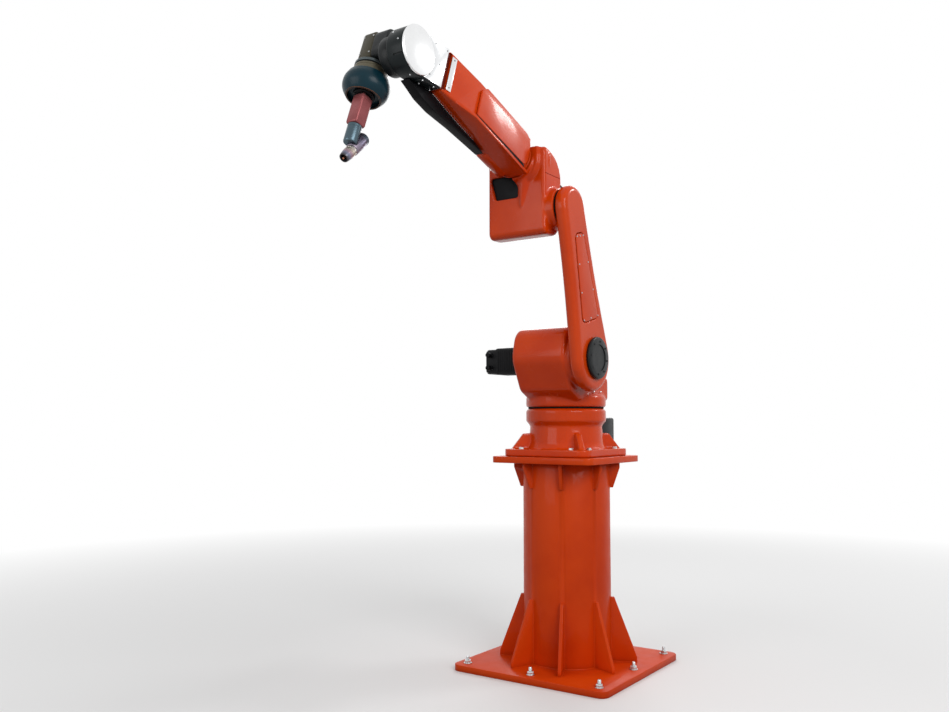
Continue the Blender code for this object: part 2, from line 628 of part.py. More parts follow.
def build_wrist_block(body, front, taper_start, box_start):
    start = front + SPIGOT_LENGTH + SEAT
    block = plate("wrist_block", block_outline(start, FRONT_BOTTOM, FRONT_TOP, WRIST_RADIUS),
                  -FRONT_HALF_WIDTH, FRONT_HALF_WIDTH, edge=0.006)
    placed(block, body, DARK_GREY)
    side_plate = plate("wrist_side_plate",
                       block_outline(start + 0.003, FRONT_BOTTOM - 0.003, FRONT_TOP - 0.005, WRIST_RADIUS - 0.006),
                       FRONT_HALF_WIDTH + SEAT, FRONT_HALF_WIDTH + 0.004)
    disc_radius = WRIST_RADIUS + 0.002
    clear = rod("clear", "Y", 0, 0.2, disc_radius + SEAT, centre=(FOREARM_REACH, 0))
    beyond = box("beyond", (FOREARM_REACH, 0, -0.2), (FOREARM_REACH + 0.2, 0.2, 0.2))
    placed(cut(side_plate, clear, beyond), body, ALUMINIUM)
    disc = rod("wrist_disc", "Y", FRONT_HALF_WIDTH + SEAT, FRONT_HALF_WIDTH + DISC_THICKNESS, disc_radius,
               centre=(FOREARM_REACH, 0), edge=0.004)
    placed(disc, body, ALUMINIUM)
    strap_slope = math.atan2(FOREARM_HALF_WIDTH - FRONT_HALF_WIDTH, TAPER_LENGTH)
    strap = box("front_strap", (-0.040, SEAT + 0.0006, -FRONT_BOTTOM + 0.014),
                (-0.014, 0.0045, FRONT_TOP - 0.020), edge=0.001)
    seat = Matrix.Translation((front, FRONT_HALF_WIDTH, 0)) @ Matrix.Rotation(-strap_slope, 4, "Z")
    placed(moved(strap, seat), body, ALUMINIUM)
    # The guard hangs from the underside, so its upper edge follows the casting and the block
    under = SEAT + 0.0009
    guard_front = FOREARM_REACH - 0.050
    guard_rear = guard_front - GUARD_LENGTH
    top_rear = guard_rear + 0.090
    rear_z = between(-REAR_BOTTOM, -TAPER_BOTTOM, (top_rear - box_start) / (taper_start - box_start))
    block_line = block_outline(start, FRONT_BOTTOM, FRONT_TOP, WRIST_RADIUS)
    (x_0, z_0), (x_1, z_1) = block_line[0], block_line[1]
    front_z = between(z_0, z_1, (guard_front - 0.012 - x_0) / (x_1 - x_0))
    guard_outline = round_corners([
        (guard_front, -FRONT_BOTTOM - 0.040, 0.008), (guard_front - 0.030, -GUARD_DROP + 0.008, 0.025),
        (guard_front - 0.42 * GUARD_LENGTH, -GUARD_DROP, 0.100), (guard_rear, -REAR_BOTTOM - 0.006, 0.004),
        (top_rear, rear_z - under, 0.0), (taper_start, -TAPER_BOTTOM - under, 0.0),
        (front, -FRONT_BOTTOM - under, 0.0), (start, -FRONT_BOTTOM - under, 0.0),
        (guard_front - 0.012, front_z - under, 0.0)], steps=5)
    guard = plate("hose_guard", guard_outline, -GUARD_OFFSET - GUARD_WIDTH / 2, -GUARD_OFFSET + GUARD_WIDTH / 2)
    placed(guard, body, BLACK)


# Wrist: rotor beside the forearm, gear housing and collar

def build_wrist(forearm):
    body = frame("wrist_axis", forearm, (FOREARM_REACH, 0, 0), TORCH_DIVE + FOREARM_RISE)
    start = -FRONT_HALF_WIDTH - RUNNING_GAP
    link_end = ROTOR_END + LINK_THICKNESS
    rotor = rod("wrist_rotor", "Y", -ROTOR_END, start, ROTOR_RADIUS, edge=0.008)
    link_outline_points = round_corners([(-0.114, -0.056, 0.046), (0.016, -0.056, 0.030),
                                         (0.016, 0.056, 0.030), (-0.114, 0.060, 0.034)])
    link = plate("link", link_outline_points, -link_end, -ROTOR_END + 0.010, edge=0.006)
    seat = rod("seat", "Y", start - 0.01, -FRONT_HALF_WIDTH - SEAT, ROTOR_RADIUS - 0.020)
    placed(joined(rotor, link, seat), body, DARK_GREY)
    housing = box("wrist_housing", (-0.120, -WRIST_OFFSET - HOUSING_HALF, -0.050),
                  (0.024, -link_end - SEAT, 0.050), edge=0.012)
    placed(housing, body, WRIST_GREY)
    placed(rod("wrist_flange", "X", 0.024 + SEAT, COLLAR_START, COLLAR_RADIUS, centre=(-WRIST_OFFSET, 0), edge=0.002),
           body, ALUMINIUM)
    return body


# Tool: collar, bell-shaped shroud and torch

def build_tool(wrist):
    body = frame("tool_axis", wrist, (0, -WRIST_OFFSET, 0), 0)
    collar = rod("tool_collar", "X", COLLAR_START + RUNNING_GAP, BELL_START, COLLAR_RADIUS - 0.001,
                 end_radius=COLLAR_RADIUS + 0.003, edge=0.002)
    seat = rod("seat", "X", COLLAR_START + SEAT, BELL_START - 0.005, COLLAR_RADIUS - 0.015)
    placed(joined(collar, seat), body, WRIST_GREY)
    start = BELL_START + SEAT
    end = start + BELL_LENGTH
    recess = end - BELL_RECESS
    mouth = BELL_MOUTH_RADIUS - BELL_WALL
    swell = BELL_WIDEST_RADIUS - COLLAR_RADIUS
    close = BELL_WIDEST_RADIUS - BELL_MOUTH_RADIUS
    shoulder, waist = 0.15 * BELL_LENGTH, 0.61 * BELL_LENGTH
    shroud = turned("bell_shroud", "X", [
        (0, start), (COLLAR_RADIUS - 0.003, start), (COLLAR_RADIUS + 0.25 * swell, start + 0.002),
        (COLLAR_RADIUS + 0.55 * swell, start + 0.4 * shoulder), (COLLAR_RADIUS + 0.79 * swell, start + shoulder),
        (COLLAR_RADIUS + 0.94 * swell, start + 1.7 * shoulder), (BELL_WIDEST_RADIUS, start + 2.7 * shoulder),
        (BELL_WIDEST_RADIUS, start + 3.3 * shoulder), (BELL_WIDEST_RADIUS - 0.09 * close, start + waist),
        (BELL_WIDEST_RADIUS - 0.22 * close, start + 0.69 * BELL_LENGTH),
        (BELL_WIDEST_RADIUS - 0.40 * close, start + 0.78 * BELL_LENGTH),
        (BELL_WIDEST_RADIUS - 0.66 * close, start + 0.88 * BELL_LENGTH),
        (BELL_WIDEST_RADIUS - 0.93 * close, end - 0.003),
        (BELL_MOUTH_RADIUS - 0.001, end), (mouth, end), (mouth + 0.003, recess), (0, recess)])
    placed(shroud, body, RUBBER)
    clamp_start = recess + SEAT
    placed(rod("torch_clamp", "X", clamp_start, end - 0.007, 0.044, edge=0.003), body, WRIST_GREY)
    torch_start = end - 0.007 + SEAT
    torch_end = torch_start + TORCH_BODY_LENGTH
    half = TORCH_BODY_WIDTH / 2
    placed(box("torch_body", (torch_start, -half, -half), (torch_end, half, half), edge=0.010), body, COPPER_RED)
    neck_end = torch_end + NECK_LENGTH
    placed(rod("torch_neck", "X", torch_end + SEAT, neck_end, NECK_RADIUS, edge=0.002), body, BRASS)
    # The barrel lies across the neck's end, mostly behind it, and its nozzle comes back to the tool's axis
    bend = Matrix.Translation((neck_end - 0.002, 0, -NECK_RADIUS)) @ Matrix.Rotation(-math.radians(NECK_BEND), 4, "Y")
    holder_end = 0.022
    holder = rod("nozzle_holder", "X", -0.070, holder_end, NOZZLE_RADIUS + 0.003, sides=32, edge=0.003)
    neck_room = rod("neck_room", "X", torch_end, neck_end + SEAT, NECK_RADIUS + SEAT)
    placed(cut(moved(holder, bend), neck_room), body, COPPER_RED)
    nozzle_start, nozzle_end = holder_end + SEAT, holder_end + NOZZLE_LENGTH
    tip_radius = 0.8 * NOZZLE_RADIUS
    bore = tip_radius - NOZZLE_WALL
    nozzle = turned("gas_nozzle", "X", [
        (bore, nozzle_end), (tip_radius, nozzle_end), (NOZZLE_RADIUS, nozzle_end - 0.030),
        (NOZZLE_RADIUS, nozzle_start), (TIP_RADIUS + 0.003, nozzle_start), (TIP_RADIUS + 0.003, nozzle_start + 0.006),
        (bore, nozzle_start + 0.006), (bore, nozzle_end)], sides=32)
    placed(moved(nozzle, bend), body, COPPER)
    tip = rod("contact_tip", "X", nozzle_start, nozzle_end + 0.003, TIP_RADIUS, end_radius=0.6 * TIP_RADIUS, sides=16)
    placed(moved(tip, bend), body, COPPER)


bpy.context.preferences.edit.use_global_undo = False
for old in list(bpy.data.objects):
    bpy.data.objects.remove(old)

PARTS = bpy.data.collections.new("welding_robot")
bpy.context.scene.collection.children.link(PARTS)

ORANGE = material("orange_paint", (0.62, 0.055, 0.010), 0.32, 0.0)
DARK_GREY = material("dark_grey_paint", (0.055, 0.058, 0.06), 0.45, 0.2)
WRIST_GREY = material("wrist_metal", (0.22, 0.21, 0.18), 0.4, 0.7)
ALUMINIUM = material("bare_aluminium", (0.78, 0.79, 0.80), 0.3, 1.0)
BLACK = material("black_plastic", (0.018, 0.018, 0.02), 0.5, 0.0)
RUBBER = material("shroud_rubber", (0.035, 0.038, 0.042), 0.6, 0.0)
COPPER_RED = material("torch_red", (0.42, 0.09, 0.07), 0.4, 0.3)
COPPER = material("copper", (0.75, 0.36, 0.22), 0.35, 1.0)
BRASS = material("brass", (0.72, 0.52, 0.22), 0.35, 1.0)

ROOT = frame("root", None, (0, 0, 0), 0)
build_riser(ROOT)
build_base(ROOT)
CAROUSEL = build_carousel(ROOT)
LOWER_ARM = build_lower_arm(CAROUSEL)
ELBOW = build_elbow(LOWER_ARM)
FOREARM = build_forearm(ELBOW)
WRIST = build_wrist(FOREARM)
build_tool(WRIST)
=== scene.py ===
import json
import math

import bmesh
import bpy
from mathutils import Matrix, Vector


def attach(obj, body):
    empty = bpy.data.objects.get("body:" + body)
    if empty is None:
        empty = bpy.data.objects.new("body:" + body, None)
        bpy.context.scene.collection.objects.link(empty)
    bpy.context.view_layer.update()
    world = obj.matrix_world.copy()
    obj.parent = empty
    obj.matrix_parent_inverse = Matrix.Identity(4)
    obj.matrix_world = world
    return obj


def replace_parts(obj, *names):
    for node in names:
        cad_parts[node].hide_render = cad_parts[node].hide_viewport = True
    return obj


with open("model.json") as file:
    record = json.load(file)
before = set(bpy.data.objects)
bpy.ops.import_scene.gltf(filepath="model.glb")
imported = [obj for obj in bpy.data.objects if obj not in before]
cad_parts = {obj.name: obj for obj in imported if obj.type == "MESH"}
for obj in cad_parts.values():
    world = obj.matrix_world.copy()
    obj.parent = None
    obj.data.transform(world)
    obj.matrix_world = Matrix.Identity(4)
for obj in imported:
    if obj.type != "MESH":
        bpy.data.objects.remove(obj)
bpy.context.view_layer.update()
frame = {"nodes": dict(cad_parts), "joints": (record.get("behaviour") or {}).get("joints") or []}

print("frame loaded,", len(frame["nodes"]), "nodes")


# Each body's own axes at rest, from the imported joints: x along the piece, y to the arm's left, z up across it

joints = {joint["name"]: joint for joint in frame["joints"]}
forearmRise = math.degrees(math.asin(joints["axis_4"]["axis"][2]))
torchDive = math.degrees(math.asin(-joints["axis_6"]["axis"][2]))
armLean = 15.0     # degrees that the lower arm leans forward at rest


def bodyPlace(joint, pitch):
    return Matrix.Translation(joints[joint]["pos_m"]) @ Matrix.Rotation(math.radians(pitch), 4, "Y")


places = {
    "base": Matrix.Identity(4),
    "carousel": Matrix.Identity(4),
    "lower_arm": bodyPlace("axis_2", armLean),
    "elbow": bodyPlace("axis_3", -forearmRise),
    "forearm": bodyPlace("axis_4", -forearmRise),
    "wrist": bodyPlace("axis_5", torchDive),
    "tool": bodyPlace("axis_6", torchDive),
}
elbowUpright = Matrix.Rotation(math.radians(forearmRise), 4, "Y")     # the elbow's front face stands upright
facings = {                                                           # turns a piece that points up to point that way
    "+X": Matrix.Rotation(math.radians(90), 4, "Y"),
    "-X": Matrix.Rotation(math.radians(-90), 4, "Y"),
    "+Y": Matrix.Rotation(math.radians(-90), 4, "X"),
    "-Y": Matrix.Rotation(math.radians(90), 4, "X"),
    "+Z": Matrix.Identity(4),
    "-Z": Matrix.Rotation(math.radians(180), 4, "X"),
}


# Ways of working that every piece shares

def deselect():
    if bpy.context.object and bpy.context.object.mode != "OBJECT":
        bpy.ops.object.mode_set(mode="OBJECT")
    bpy.ops.object.select_all(action="DESELECT")


def focus(piece):
    deselect()
    piece.select_set(True)
    bpy.context.view_layer.objects.active = piece
    return piece


def applyPlace(piece, turn=None):
    focus(piece)
    if turn is not None:
        piece.matrix_world = turn @ piece.matrix_world
    bpy.ops.object.transform_apply(location=True, rotation=True, scale=True)
    return piece


def useModifier(piece, kind, **settings):
    focus(piece)
    modifier = piece.modifiers.new(kind.lower(), kind)
    for key, value in settings.items():
        setattr(modifier, key, value)
    bpy.ops.object.modifier_apply(modifier=modifier.name)
    return piece


def editMesh(piece):
    focus(piece)
    bpy.ops.object.mode_set(mode="EDIT")


# In edit mode, selects only the vertices, edges or faces that pass the test
def choose(piece, kind, test):
    bpy.ops.mesh.select_mode(type={"verts": "VERT", "edges": "EDGE", "faces": "FACE"}[kind])
    bpy.ops.mesh.select_all(action="DESELECT")
    mesh = bmesh.from_edit_mesh(piece.data)
    for part in getattr(mesh, kind):
        if test(part):
            part.select_set(True)
    mesh.select_flush_mode()
    bmesh.update_edit_mesh(piece.data)


# Merges doubles and turns the faces outwards, then leaves edit mode
def tidyMesh(piece):
    bpy.ops.mesh.select_mode(type="VERT")
    bpy.ops.mesh.select_all(action="SELECT")
    bpy.ops.mesh.remove_doubles(threshold=0.000005)
    bpy.ops.mesh.normals_make_consistent(inside=False)
    bpy.ops.object.mode_set(mode="OBJECT")
    return piece


def block(name, low, high, edge=0.0):
    deselect()
    middle = [(a + b) / 2 for a, b in zip(low, high)]
    bpy.ops.mesh.primitive_cube_add(size=1, location=middle, scale=[b - a for a, b in zip(low, high)])
    piece = applyPlace(bpy.context.object)
    piece.name = name
    if edge:
        editMesh(piece)
        bpy.ops.mesh.select_all(action="SELECT")
        bpy.ops.mesh.bevel(offset=edge, segments=2, affect="EDGES")
        bpy.ops.object.mode_set(mode="OBJECT")
    return piece


# A round piece about z, drawn out of a disc: each row is a radius and a height
def turnedPiece(name, rows, sides):
    deselect()
    radius, height = rows[0]
    bpy.ops.mesh.primitive_circle_add(vertices=sides, radius=radius, fill_type="NGON", location=(0, 0, height))
    piece = bpy.context.object
    piece.name = name
    bpy.ops.object.mode_set(mode="EDIT")
    bpy.ops.mesh.select_all(action="SELECT")
    for nextRadius, nextHeight in rows[1:]:
        bpy.ops.mesh.extrude_region_move(TRANSFORM_OT_translate={"value": (0, 0, nextHeight - height)})
        grow = nextRadius / radius
        bpy.ops.transform.resize(value=(grow, grow, 1), center_override=(0, 0, nextHeight))
        radius, height = nextRadius, nextHeight
    return applyPlace(tidyMesh(piece))


# A ring about z: a closed run of radius and height, turned right round
def ringPiece(name, rows, sides=72):
    deselect()
    bpy.ops.mesh.primitive_circle_add(vertices=len(rows), radius=1, fill_type="NOTHING")
    piece = bpy.context.object
    piece.name = name
    for vertex, (radius, height) in zip(piece.data.vertices, rows):
        vertex.co = (radius, 0, height)
    editMesh(piece)
    bpy.ops.mesh.select_all(action="SELECT")
    bpy.ops.mesh.spin(steps=sides, angle=math.tau, center=(0, 0, 0), axis=(0, 0, 1))
    return applyPlace(tidyMesh(piece))


# A flat outline (x, z), thick from y = low to y = high, with rounded rims
def outlinePiece(name, points, low, high, edge=0.0, segments=2):
    deselect()
    bpy.ops.mesh.primitive_circle_add(vertices=len(points), radius=1, fill_type="NGON")
    piece = bpy.context.object
    piece.name = name
    for vertex, (x, z) in zip(piece.data.vertices, points):
        vertex.co = (x, low, z)
    bpy.ops.object.mode_set(mode="EDIT")
    bpy.ops.mesh.select_all(action="SELECT")
    bpy.ops.mesh.extrude_region_move(TRANSFORM_OT_translate={"value": (0, high - low, 0)})
    if edge:
        choose(piece, "edges", lambda e: abs(e.verts[0].co.y - e.verts[1].co.y) < 1e-6)
        bpy.ops.mesh.bevel(offset=edge, segments=segments, affect="EDGES", clamp_overlap=True)
    return applyPlace(tidyMesh(piece))


# The outline whose corners (x, z, radius) are replaced by arcs
def roundCorners(corners, steps):
    points = []
    for i, (x, z, radius) in enumerate(corners):
        here = Vector((x, z))
        back = (Vector(corners[i - 1][:2]) - here).normalized()
        ahead = (Vector(corners[(i + 1) % len(corners)][:2]) - here).normalized()
        half = back.angle(ahead) / 2
        if radius == 0 or half > math.radians(88):
            points.append(here)
            continue
        centre = here + (back + ahead).normalized() * radius / math.sin(half)
        start = here + back * radius / math.tan(half) - centre
        turn = 1 if back.cross(ahead) < 0 else -1
        for k in range(steps + 1):
            arm = start.copy()
            arm.rotate(Matrix.Rotation(turn * (math.pi - 2 * half) * k / steps, 2))
            points.append(centre + arm)
    return points


# Cuts the other shapes out of the piece
def cutOut(piece, others):
    if len(others) > 1:
        focus(others[0])
        for other in others[1:]:
            other.select_set(True)
        bpy.ops.object.join()
    useModifier(piece, "BOOLEAN", object=others[0], operation="DIFFERENCE", solver="EXACT", use_self=len(others) > 1)
    bpy.data.objects.remove(others[0])
    return piece


def joinPieces(name, parts):
    focus(parts[0])
    for part in parts[1:]:
        part.select_set(True)
    bpy.ops.object.join()
    parts[0].name = name
    return parts[0]


def copyPiece(model, matrix):
    copy = model.copy()
    copy.data = model.data.copy()
    bpy.context.collection.objects.link(copy)
    return applyPlace(copy, matrix)


# One object made of a copy of the model at each spot
def repeatPiece(name, model, spots):
    return joinPieces(name, [copyPiece(model, spot) for spot in spots])


def spot(place, facing="+Z", size=1.0, spin=0.0):
    return (Matrix.Translation(place) @ facings[facing] @ Matrix.Rotation(math.radians(spin), 4, "Z")
            @ Matrix.Scale(size, 4))


# Spots on a circle about the facing's own axis
def ringSpots(centre, radius, count, facing, size=1.0, start=0.0):
    turned = []
    for k in range(count):
        angle = start + 360 * k / count
        out = facings[facing] @ Vector((radius * math.cos(math.radians(angle)),
                                        radius * math.sin(math.radians(angle)), 0))
        turned.append(spot(Vector(centre) + out, facing, size, angle))
    return turned


# Sets a piece made in its body's own axes in place, paints it and lets it ride
def finish(piece, body, finishMaterial, angle=35.0):
    applyPlace(piece, places[body])
    piece.data.materials.clear()
    piece.data.materials.append(finishMaterial)
    focus(piece)
    bpy.ops.object.shade_smooth_by_angle(angle=math.radians(angle))
    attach(piece, body)
    return piece


# A merged copy of a CAD node, in its body's own axes
def nodeCopy(node, body):
    deselect()
    copy = bpy.data.objects.new(node + "_shape", frame["nodes"][node].data.copy())
    bpy.context.collection.objects.link(copy)
    editMesh(copy)
    bpy.ops.mesh.select_all(action="SELECT")
    bpy.ops.mesh.remove_doubles(threshold=0.00001)
    bpy.ops.mesh.dissolve_limited(angle_limit=math.radians(0.3))
    bpy.ops.object.mode_set(mode="OBJECT")
    focus(copy)
    bpy.ops.mesh.customdata_custom_splitnormals_clear()
    return applyPlace(copy, places[body].inverted())


# The node with small rounded edges
def trimmedNode(node, body, edge=0.0015):
    copy = nodeCopy(node, body)
    return useModifier(copy, "BEVEL", width=edge, segments=2, limit_method="ANGLE",
                       angle_limit=math.radians(30.0), use_clamp_overlap=True)


# The node as a casting: every inner corner gets a fillet and every edge is eased
def castNode(node, body, grain, softness):
    copy = nodeCopy(node, body)
    useModifier(copy, "REMESH", mode="VOXEL", voxel_size=grain, use_smooth_shade=True)
    return useModifier(copy, "SMOOTH", factor=0.5, iterations=softness)


# Materials. Each reads the piece's own place in metres, so a grain keeps its real scale

def newMaterial(name, colour, roughness, metallic=0.0, **more):
    made = bpy.data.materials.new(name)
    made.use_nodes = True
    shader = made.node_tree.nodes["Principled BSDF"]
    shader.inputs["Base Color"].default_value = (*colour, 1.0)
    shader.inputs["Roughness"].default_value = roughness
    shader.inputs["Metallic"].default_value = metallic
    for key, value in more.items():
        shader.inputs[key.replace("_", " ")].default_value = value
    return made


def addNode(made, kind, values=None, **settings):
    node = made.node_tree.nodes.new(kind)
    for key, value in settings.items():
        setattr(node, key, value)
    for key, value in (values or {}).items():
        node.inputs[key].default_value = value
    return node


def link(made, source, target):
    made.node_tree.links.new(source, target)


def objectPlace(made, scale=(1, 1, 1), rotation=(0, 0, 0), location=(0, 0, 0)):
    where = addNode(made, "ShaderNodeTexCoord")
    mapping = addNode(made, "ShaderNodeMapping")
    mapping.inputs["Scale"].default_value = scale
    mapping.inputs["Rotation"].default_value = rotation
    mapping.inputs["Location"].default_value = location
    link(made, where.outputs["Object"], mapping.inputs["Vector"])
    return mapping.outputs["Vector"]


# The piece's points in the axes of the given place
def localPlace(made, place):
    inward = place.inverted()
    return objectPlace(made, rotation=inward.to_euler(), location=inward.translation)


def noise(made, where, scale, detail=4.0, roughness=0.55):
    node = addNode(made, "ShaderNodeTexNoise", {"Scale": scale, "Detail": detail, "Roughness": roughness})
    link(made, where, node.inputs["Vector"])
    return node.outputs["Fac"]


def ramp(made, source, stops):
    node = addNode(made, "ShaderNodeValToRGB")
    elements = node.color_ramp.elements
    while len(elements) < len(stops):
        elements.new(0.5)
    for element, (position, colour) in zip(elements, stops):
        element.position = position
        element.color = (*colour, 1.0)
    link(made, source, node.inputs["Fac"])
    return node.outputs["Color"]


def spread(made, source, low, high, fromLow=0.3, fromHigh=0.7):
    node = addNode(made, "ShaderNodeMapRange",
                   {"From Min": fromLow, "From Max": fromHigh, "To Min": low, "To Max": high})
    link(made, source, node.inputs["Value"])
    return node.outputs["Result"]


def mixColours(made, share, first, second, blend="MIX"):
    node = addNode(made, "ShaderNodeMix", data_type="RGBA", blend_type=blend)
    for socket, value in ((node.inputs[0], share), (node.inputs[6], first), (node.inputs[7], second)):
        if isinstance(value, (int, float)):
            socket.default_value = value
        elif isinstance(value, tuple):
            socket.default_value = (*value, 1.0)
        else:
            link(made, value, socket)
    return node.outputs[2]


# Chains bumps: each is (height source, strength, distance in metres)
def bump(made, heights):
    shader = made.node_tree.nodes["Principled BSDF"]
    last = None
    for source, strength, distance in heights:
        node = addNode(made, "ShaderNodeBump", {"Strength": strength, "Distance": distance})
        link(made, source, node.inputs["Height"])
        if last is not None:
            link(made, last, node.inputs["Normal"])
        last = node.outputs["Normal"]
    link(made, last, shader.inputs["Normal"])


def shaderInput(made, name):
    return made.node_tree.nodes["Principled BSDF"].inputs[name]


paintSettings = {
    "colour": (0.640, 0.052, 0.0020),
    "deep": (0.560, 0.039, 0.0015),
    "faded": (0.670, 0.062, 0.0040),
    "roughness": (0.17, 0.30),
    "peelScale": 420.0,
    "peelDepth": 0.00025,
    "dust": (0.40, 0.12, 0.06),
}


# Sprayed gloss paint: orange peel, faint clouds in the colour, dull handling marks, dust in the corners and painted
# shade that darkens the corners
def makePaint(name, colour, deep, faded, roughness, dust, peelScale, peelDepth, coat=0.22):
    made = newMaterial(name, colour, 0.28, 0.0, Specular_IOR_Level=0.08, Coat_Weight=coat, Coat_Roughness=0.09)
    where = objectPlace(made)
    clouds = noise(made, where, 3.2, 5.0)
    patches = noise(made, where, 14.0, 6.0, 0.6)
    tone = ramp(made, clouds, [(0.32, deep), (0.55, colour), (0.78, faded)])
    # Ambient occlusion marks corners and creases: it darkens the tone there as painted shade, and with the speckles it
    # also places the dust
    corners = addNode(made, "ShaderNodeAmbientOcclusion", {"Distance": 0.035}, samples=6)
    cornerShadeAndDust = ramp(made, corners.outputs["AO"], [(0.35, (1, 1, 1)), (0.85, (0, 0, 0))])
    speckles = ramp(made, noise(made, where, 95.0, 3.0, 0.7), [(0.60, (0, 0, 0)), (0.72, (1, 1, 1))])
    dirty = mixColours(made, 1.0, cornerShadeAndDust, speckles, "MULTIPLY")
    # The tone darkened in corners towards 0.42 of the deep colour: painted shade
    shade = mixColours(made, 0.35, tone, mixColours(made, cornerShadeAndDust, tone, tuple(0.42 * c for c in deep)))
    link(made, mixColours(made, spread(made, dirty, 0.0, 0.12, 0.0, 1.0), shade, dust),
         shaderInput(made, "Base Color"))
    link(made, spread(made, patches, *roughness), shaderInput(made, "Roughness"))
    bump(made, [(noise(made, where, peelScale, 2.0), 0.12, peelDepth), (clouds, 0.15, 0.002)])
    return made


# A satin surface with a fine even grain, slightly uneven tone and painted shade that darkens its corners
def makeSatin(name, colour, roughness, metallic=0.0, grainScale=900.0, grainDepth=0.0002, variation=0.25,
              specular=0.12, **more):
    made = newMaterial(name, colour, sum(roughness) / 2, metallic, Specular_IOR_Level=specular, **more)
    where = objectPlace(made)
    clouds = noise(made, where, 9.0, 6.0, 0.6)
    low = tuple(c * (1 - variation) for c in colour)
    high = tuple(min(1.0, c * (1 + variation)) for c in colour)
    tone = ramp(made, clouds, [(0.3, low), (0.5, colour), (0.75, high)])
    # Ambient occlusion darkens corners and creases towards 0.35 of the colour: painted shade
    corners = addNode(made, "ShaderNodeAmbientOcclusion", {"Distance": 0.02}, samples=6)
    cornerShadeAndDust = ramp(made, corners.outputs["AO"], [(0.3, (1, 1, 1)), (0.8, (0, 0, 0))])
    link(made, mixColours(made, spread(made, cornerShadeAndDust, 0.0, 0.5, 0.0, 1.0), tone, tuple(0.35 * c for c in colour)),
         shaderInput(made, "Base Color"))
    link(made, spread(made, noise(made, where, 30.0, 5.0), *roughness), shaderInput(made, "Roughness"))
    bump(made, [(noise(made, where, grainScale, 2.0), 0.25, grainDepth)])
    return made


# Bare metal with fine strokes along one direction and small scratches across them
def makeBrushed(name, colour, roughness, along, fineness, turn=(0, 0, 0)):
    made = newMaterial(name, colour, sum(roughness) / 2, 1.0)
    where = objectPlace(made, scale=along, rotation=turn)
    strokes = noise(made, where, fineness, 3.0, 0.6)
    marks = noise(made, objectPlace(made), 22.0, 6.0, 0.65)
    low = tuple(0.82 * c for c in colour)
    link(made, mixColours(made, spread(made, marks, 0.0, 0.6), colour, low), shaderInput(made, "Base Color"))
    link(made, spread(made, strokes, *roughness), shaderInput(made, "Roughness"))
    bump(made, [(strokes, 0.10, 0.0001), (marks, 0.05, 0.0006)])
    return made


# Metal faced on a lathe: fine rings about the centre
def makeFaced(name, colour, roughness, centre, facing, rings):
    made = newMaterial(name, colour, sum(roughness) / 2, 1.0)
    where = localPlace(made, Matrix.Translation(centre) @ facing)
    wave = addNode(made, "ShaderNodeTexWave", {"Scale": rings, "Distortion": 0.4, "Detail": 1.0},
                   wave_type="RINGS", rings_direction="Z")
    link(made, where, wave.inputs["Vector"])
    marks = noise(made, objectPlace(made), 26.0, 6.0, 0.65)
    link(made, mixColours(made, spread(made, marks, 0.0, 0.5), colour, tuple(0.85 * c for c in colour)),
         shaderInput(made, "Base Color"))
    link(made, spread(made, marks, *roughness), shaderInput(made, "Roughness"))
    bump(made, [(wave.outputs["Fac"], 0.04, 0.0001)])
    return made


# Metal coloured in bands along its own z: heat stains ending soot grey at the far end on the nozzle, a painted tint of
# the arc's light on the barrel
def makeHeated(name, stops, roughness, place, start, end):
    made = newMaterial(name, stops[0][1], sum(roughness) / 2, 0.9)
    apart = addNode(made, "ShaderNodeSeparateXYZ")
    where = localPlace(made, place)
    link(made, where, apart.inputs["Vector"])
    along = spread(made, apart.outputs["Z"], 0.0, 1.0, start, end)
    marks = noise(made, objectPlace(made), 60.0, 5.0, 0.6)
    wander = addNode(made, "ShaderNodeMath", {1: 0.16}, operation="MULTIPLY")
    link(made, marks, wander.inputs[0])
    shifted = addNode(made, "ShaderNodeMath", operation="ADD")
    link(made, along, shifted.inputs[0])
    link(made, wander.outputs[0], shifted.inputs[1])
    link(made, ramp(made, shifted.outputs[0], stops), shaderInput(made, "Base Color"))
    link(made, spread(made, marks, *roughness), shaderInput(made, "Roughness"))
    bump(made, [(marks, 0.10, 0.0006), (noise(made, objectPlace(made), 700.0, 2.0), 0.12, 0.0002)])
    return made


forearmTurn = (0, math.radians(forearmRise), 0)
paint = makePaint("orange_gloss", **paintSettings)
duller = {"roughness": (0.34, 0.50), "peelScale": 240.0, "peelDepth": 0.0005, "coat": 0.10}
structurePaint = makePaint("orange_structure", **{**paintSettings, **duller})
# Orange as it looks in deep shade, for the gap behind the strap: painted shade
gapShadePaint = makeSatin("dark_red_gap", (0.130, 0.010, 0.004), (0.35, 0.5))
darkGrey = makeSatin("dark_grey_paint", (0.014, 0.016, 0.017), (0.30, 0.44), grainScale=600.0, Coat_Weight=0.1,
                     Coat_Roughness=0.2)
castBlack = makeSatin("black_cast_motor", (0.008, 0.008, 0.009), (0.42, 0.58), grainScale=480.0, grainDepth=0.0006)
blackPlastic = makeSatin("black_plastic", (0.004, 0.004, 0.005), (0.34, 0.48), grainScale=1100.0, specular=0.08)
sealRubber = makeSatin("seal_rubber", (0.005, 0.004, 0.004), (0.62, 0.8), grainScale=700.0, specular=0.1)
olive = makeSatin("olive_grey_metal", (0.060, 0.053, 0.034), (0.30, 0.44), 0.1, grainScale=520.0, variation=0.18)
oliveDark = makeSatin("olive_collar", (0.150, 0.133, 0.092), (0.30, 0.42), 0.2, grainScale=520.0, variation=0.2)
ochreBand = makeSatin("ochre_band", (0.56, 0.48, 0.36), (0.26, 0.38), 0.4, grainScale=600.0, variation=0.15)
dullSteel = makeSatin("dull_steel_flange", (0.105, 0.125, 0.130), (0.28, 0.40), 0.5, grainScale=600.0)
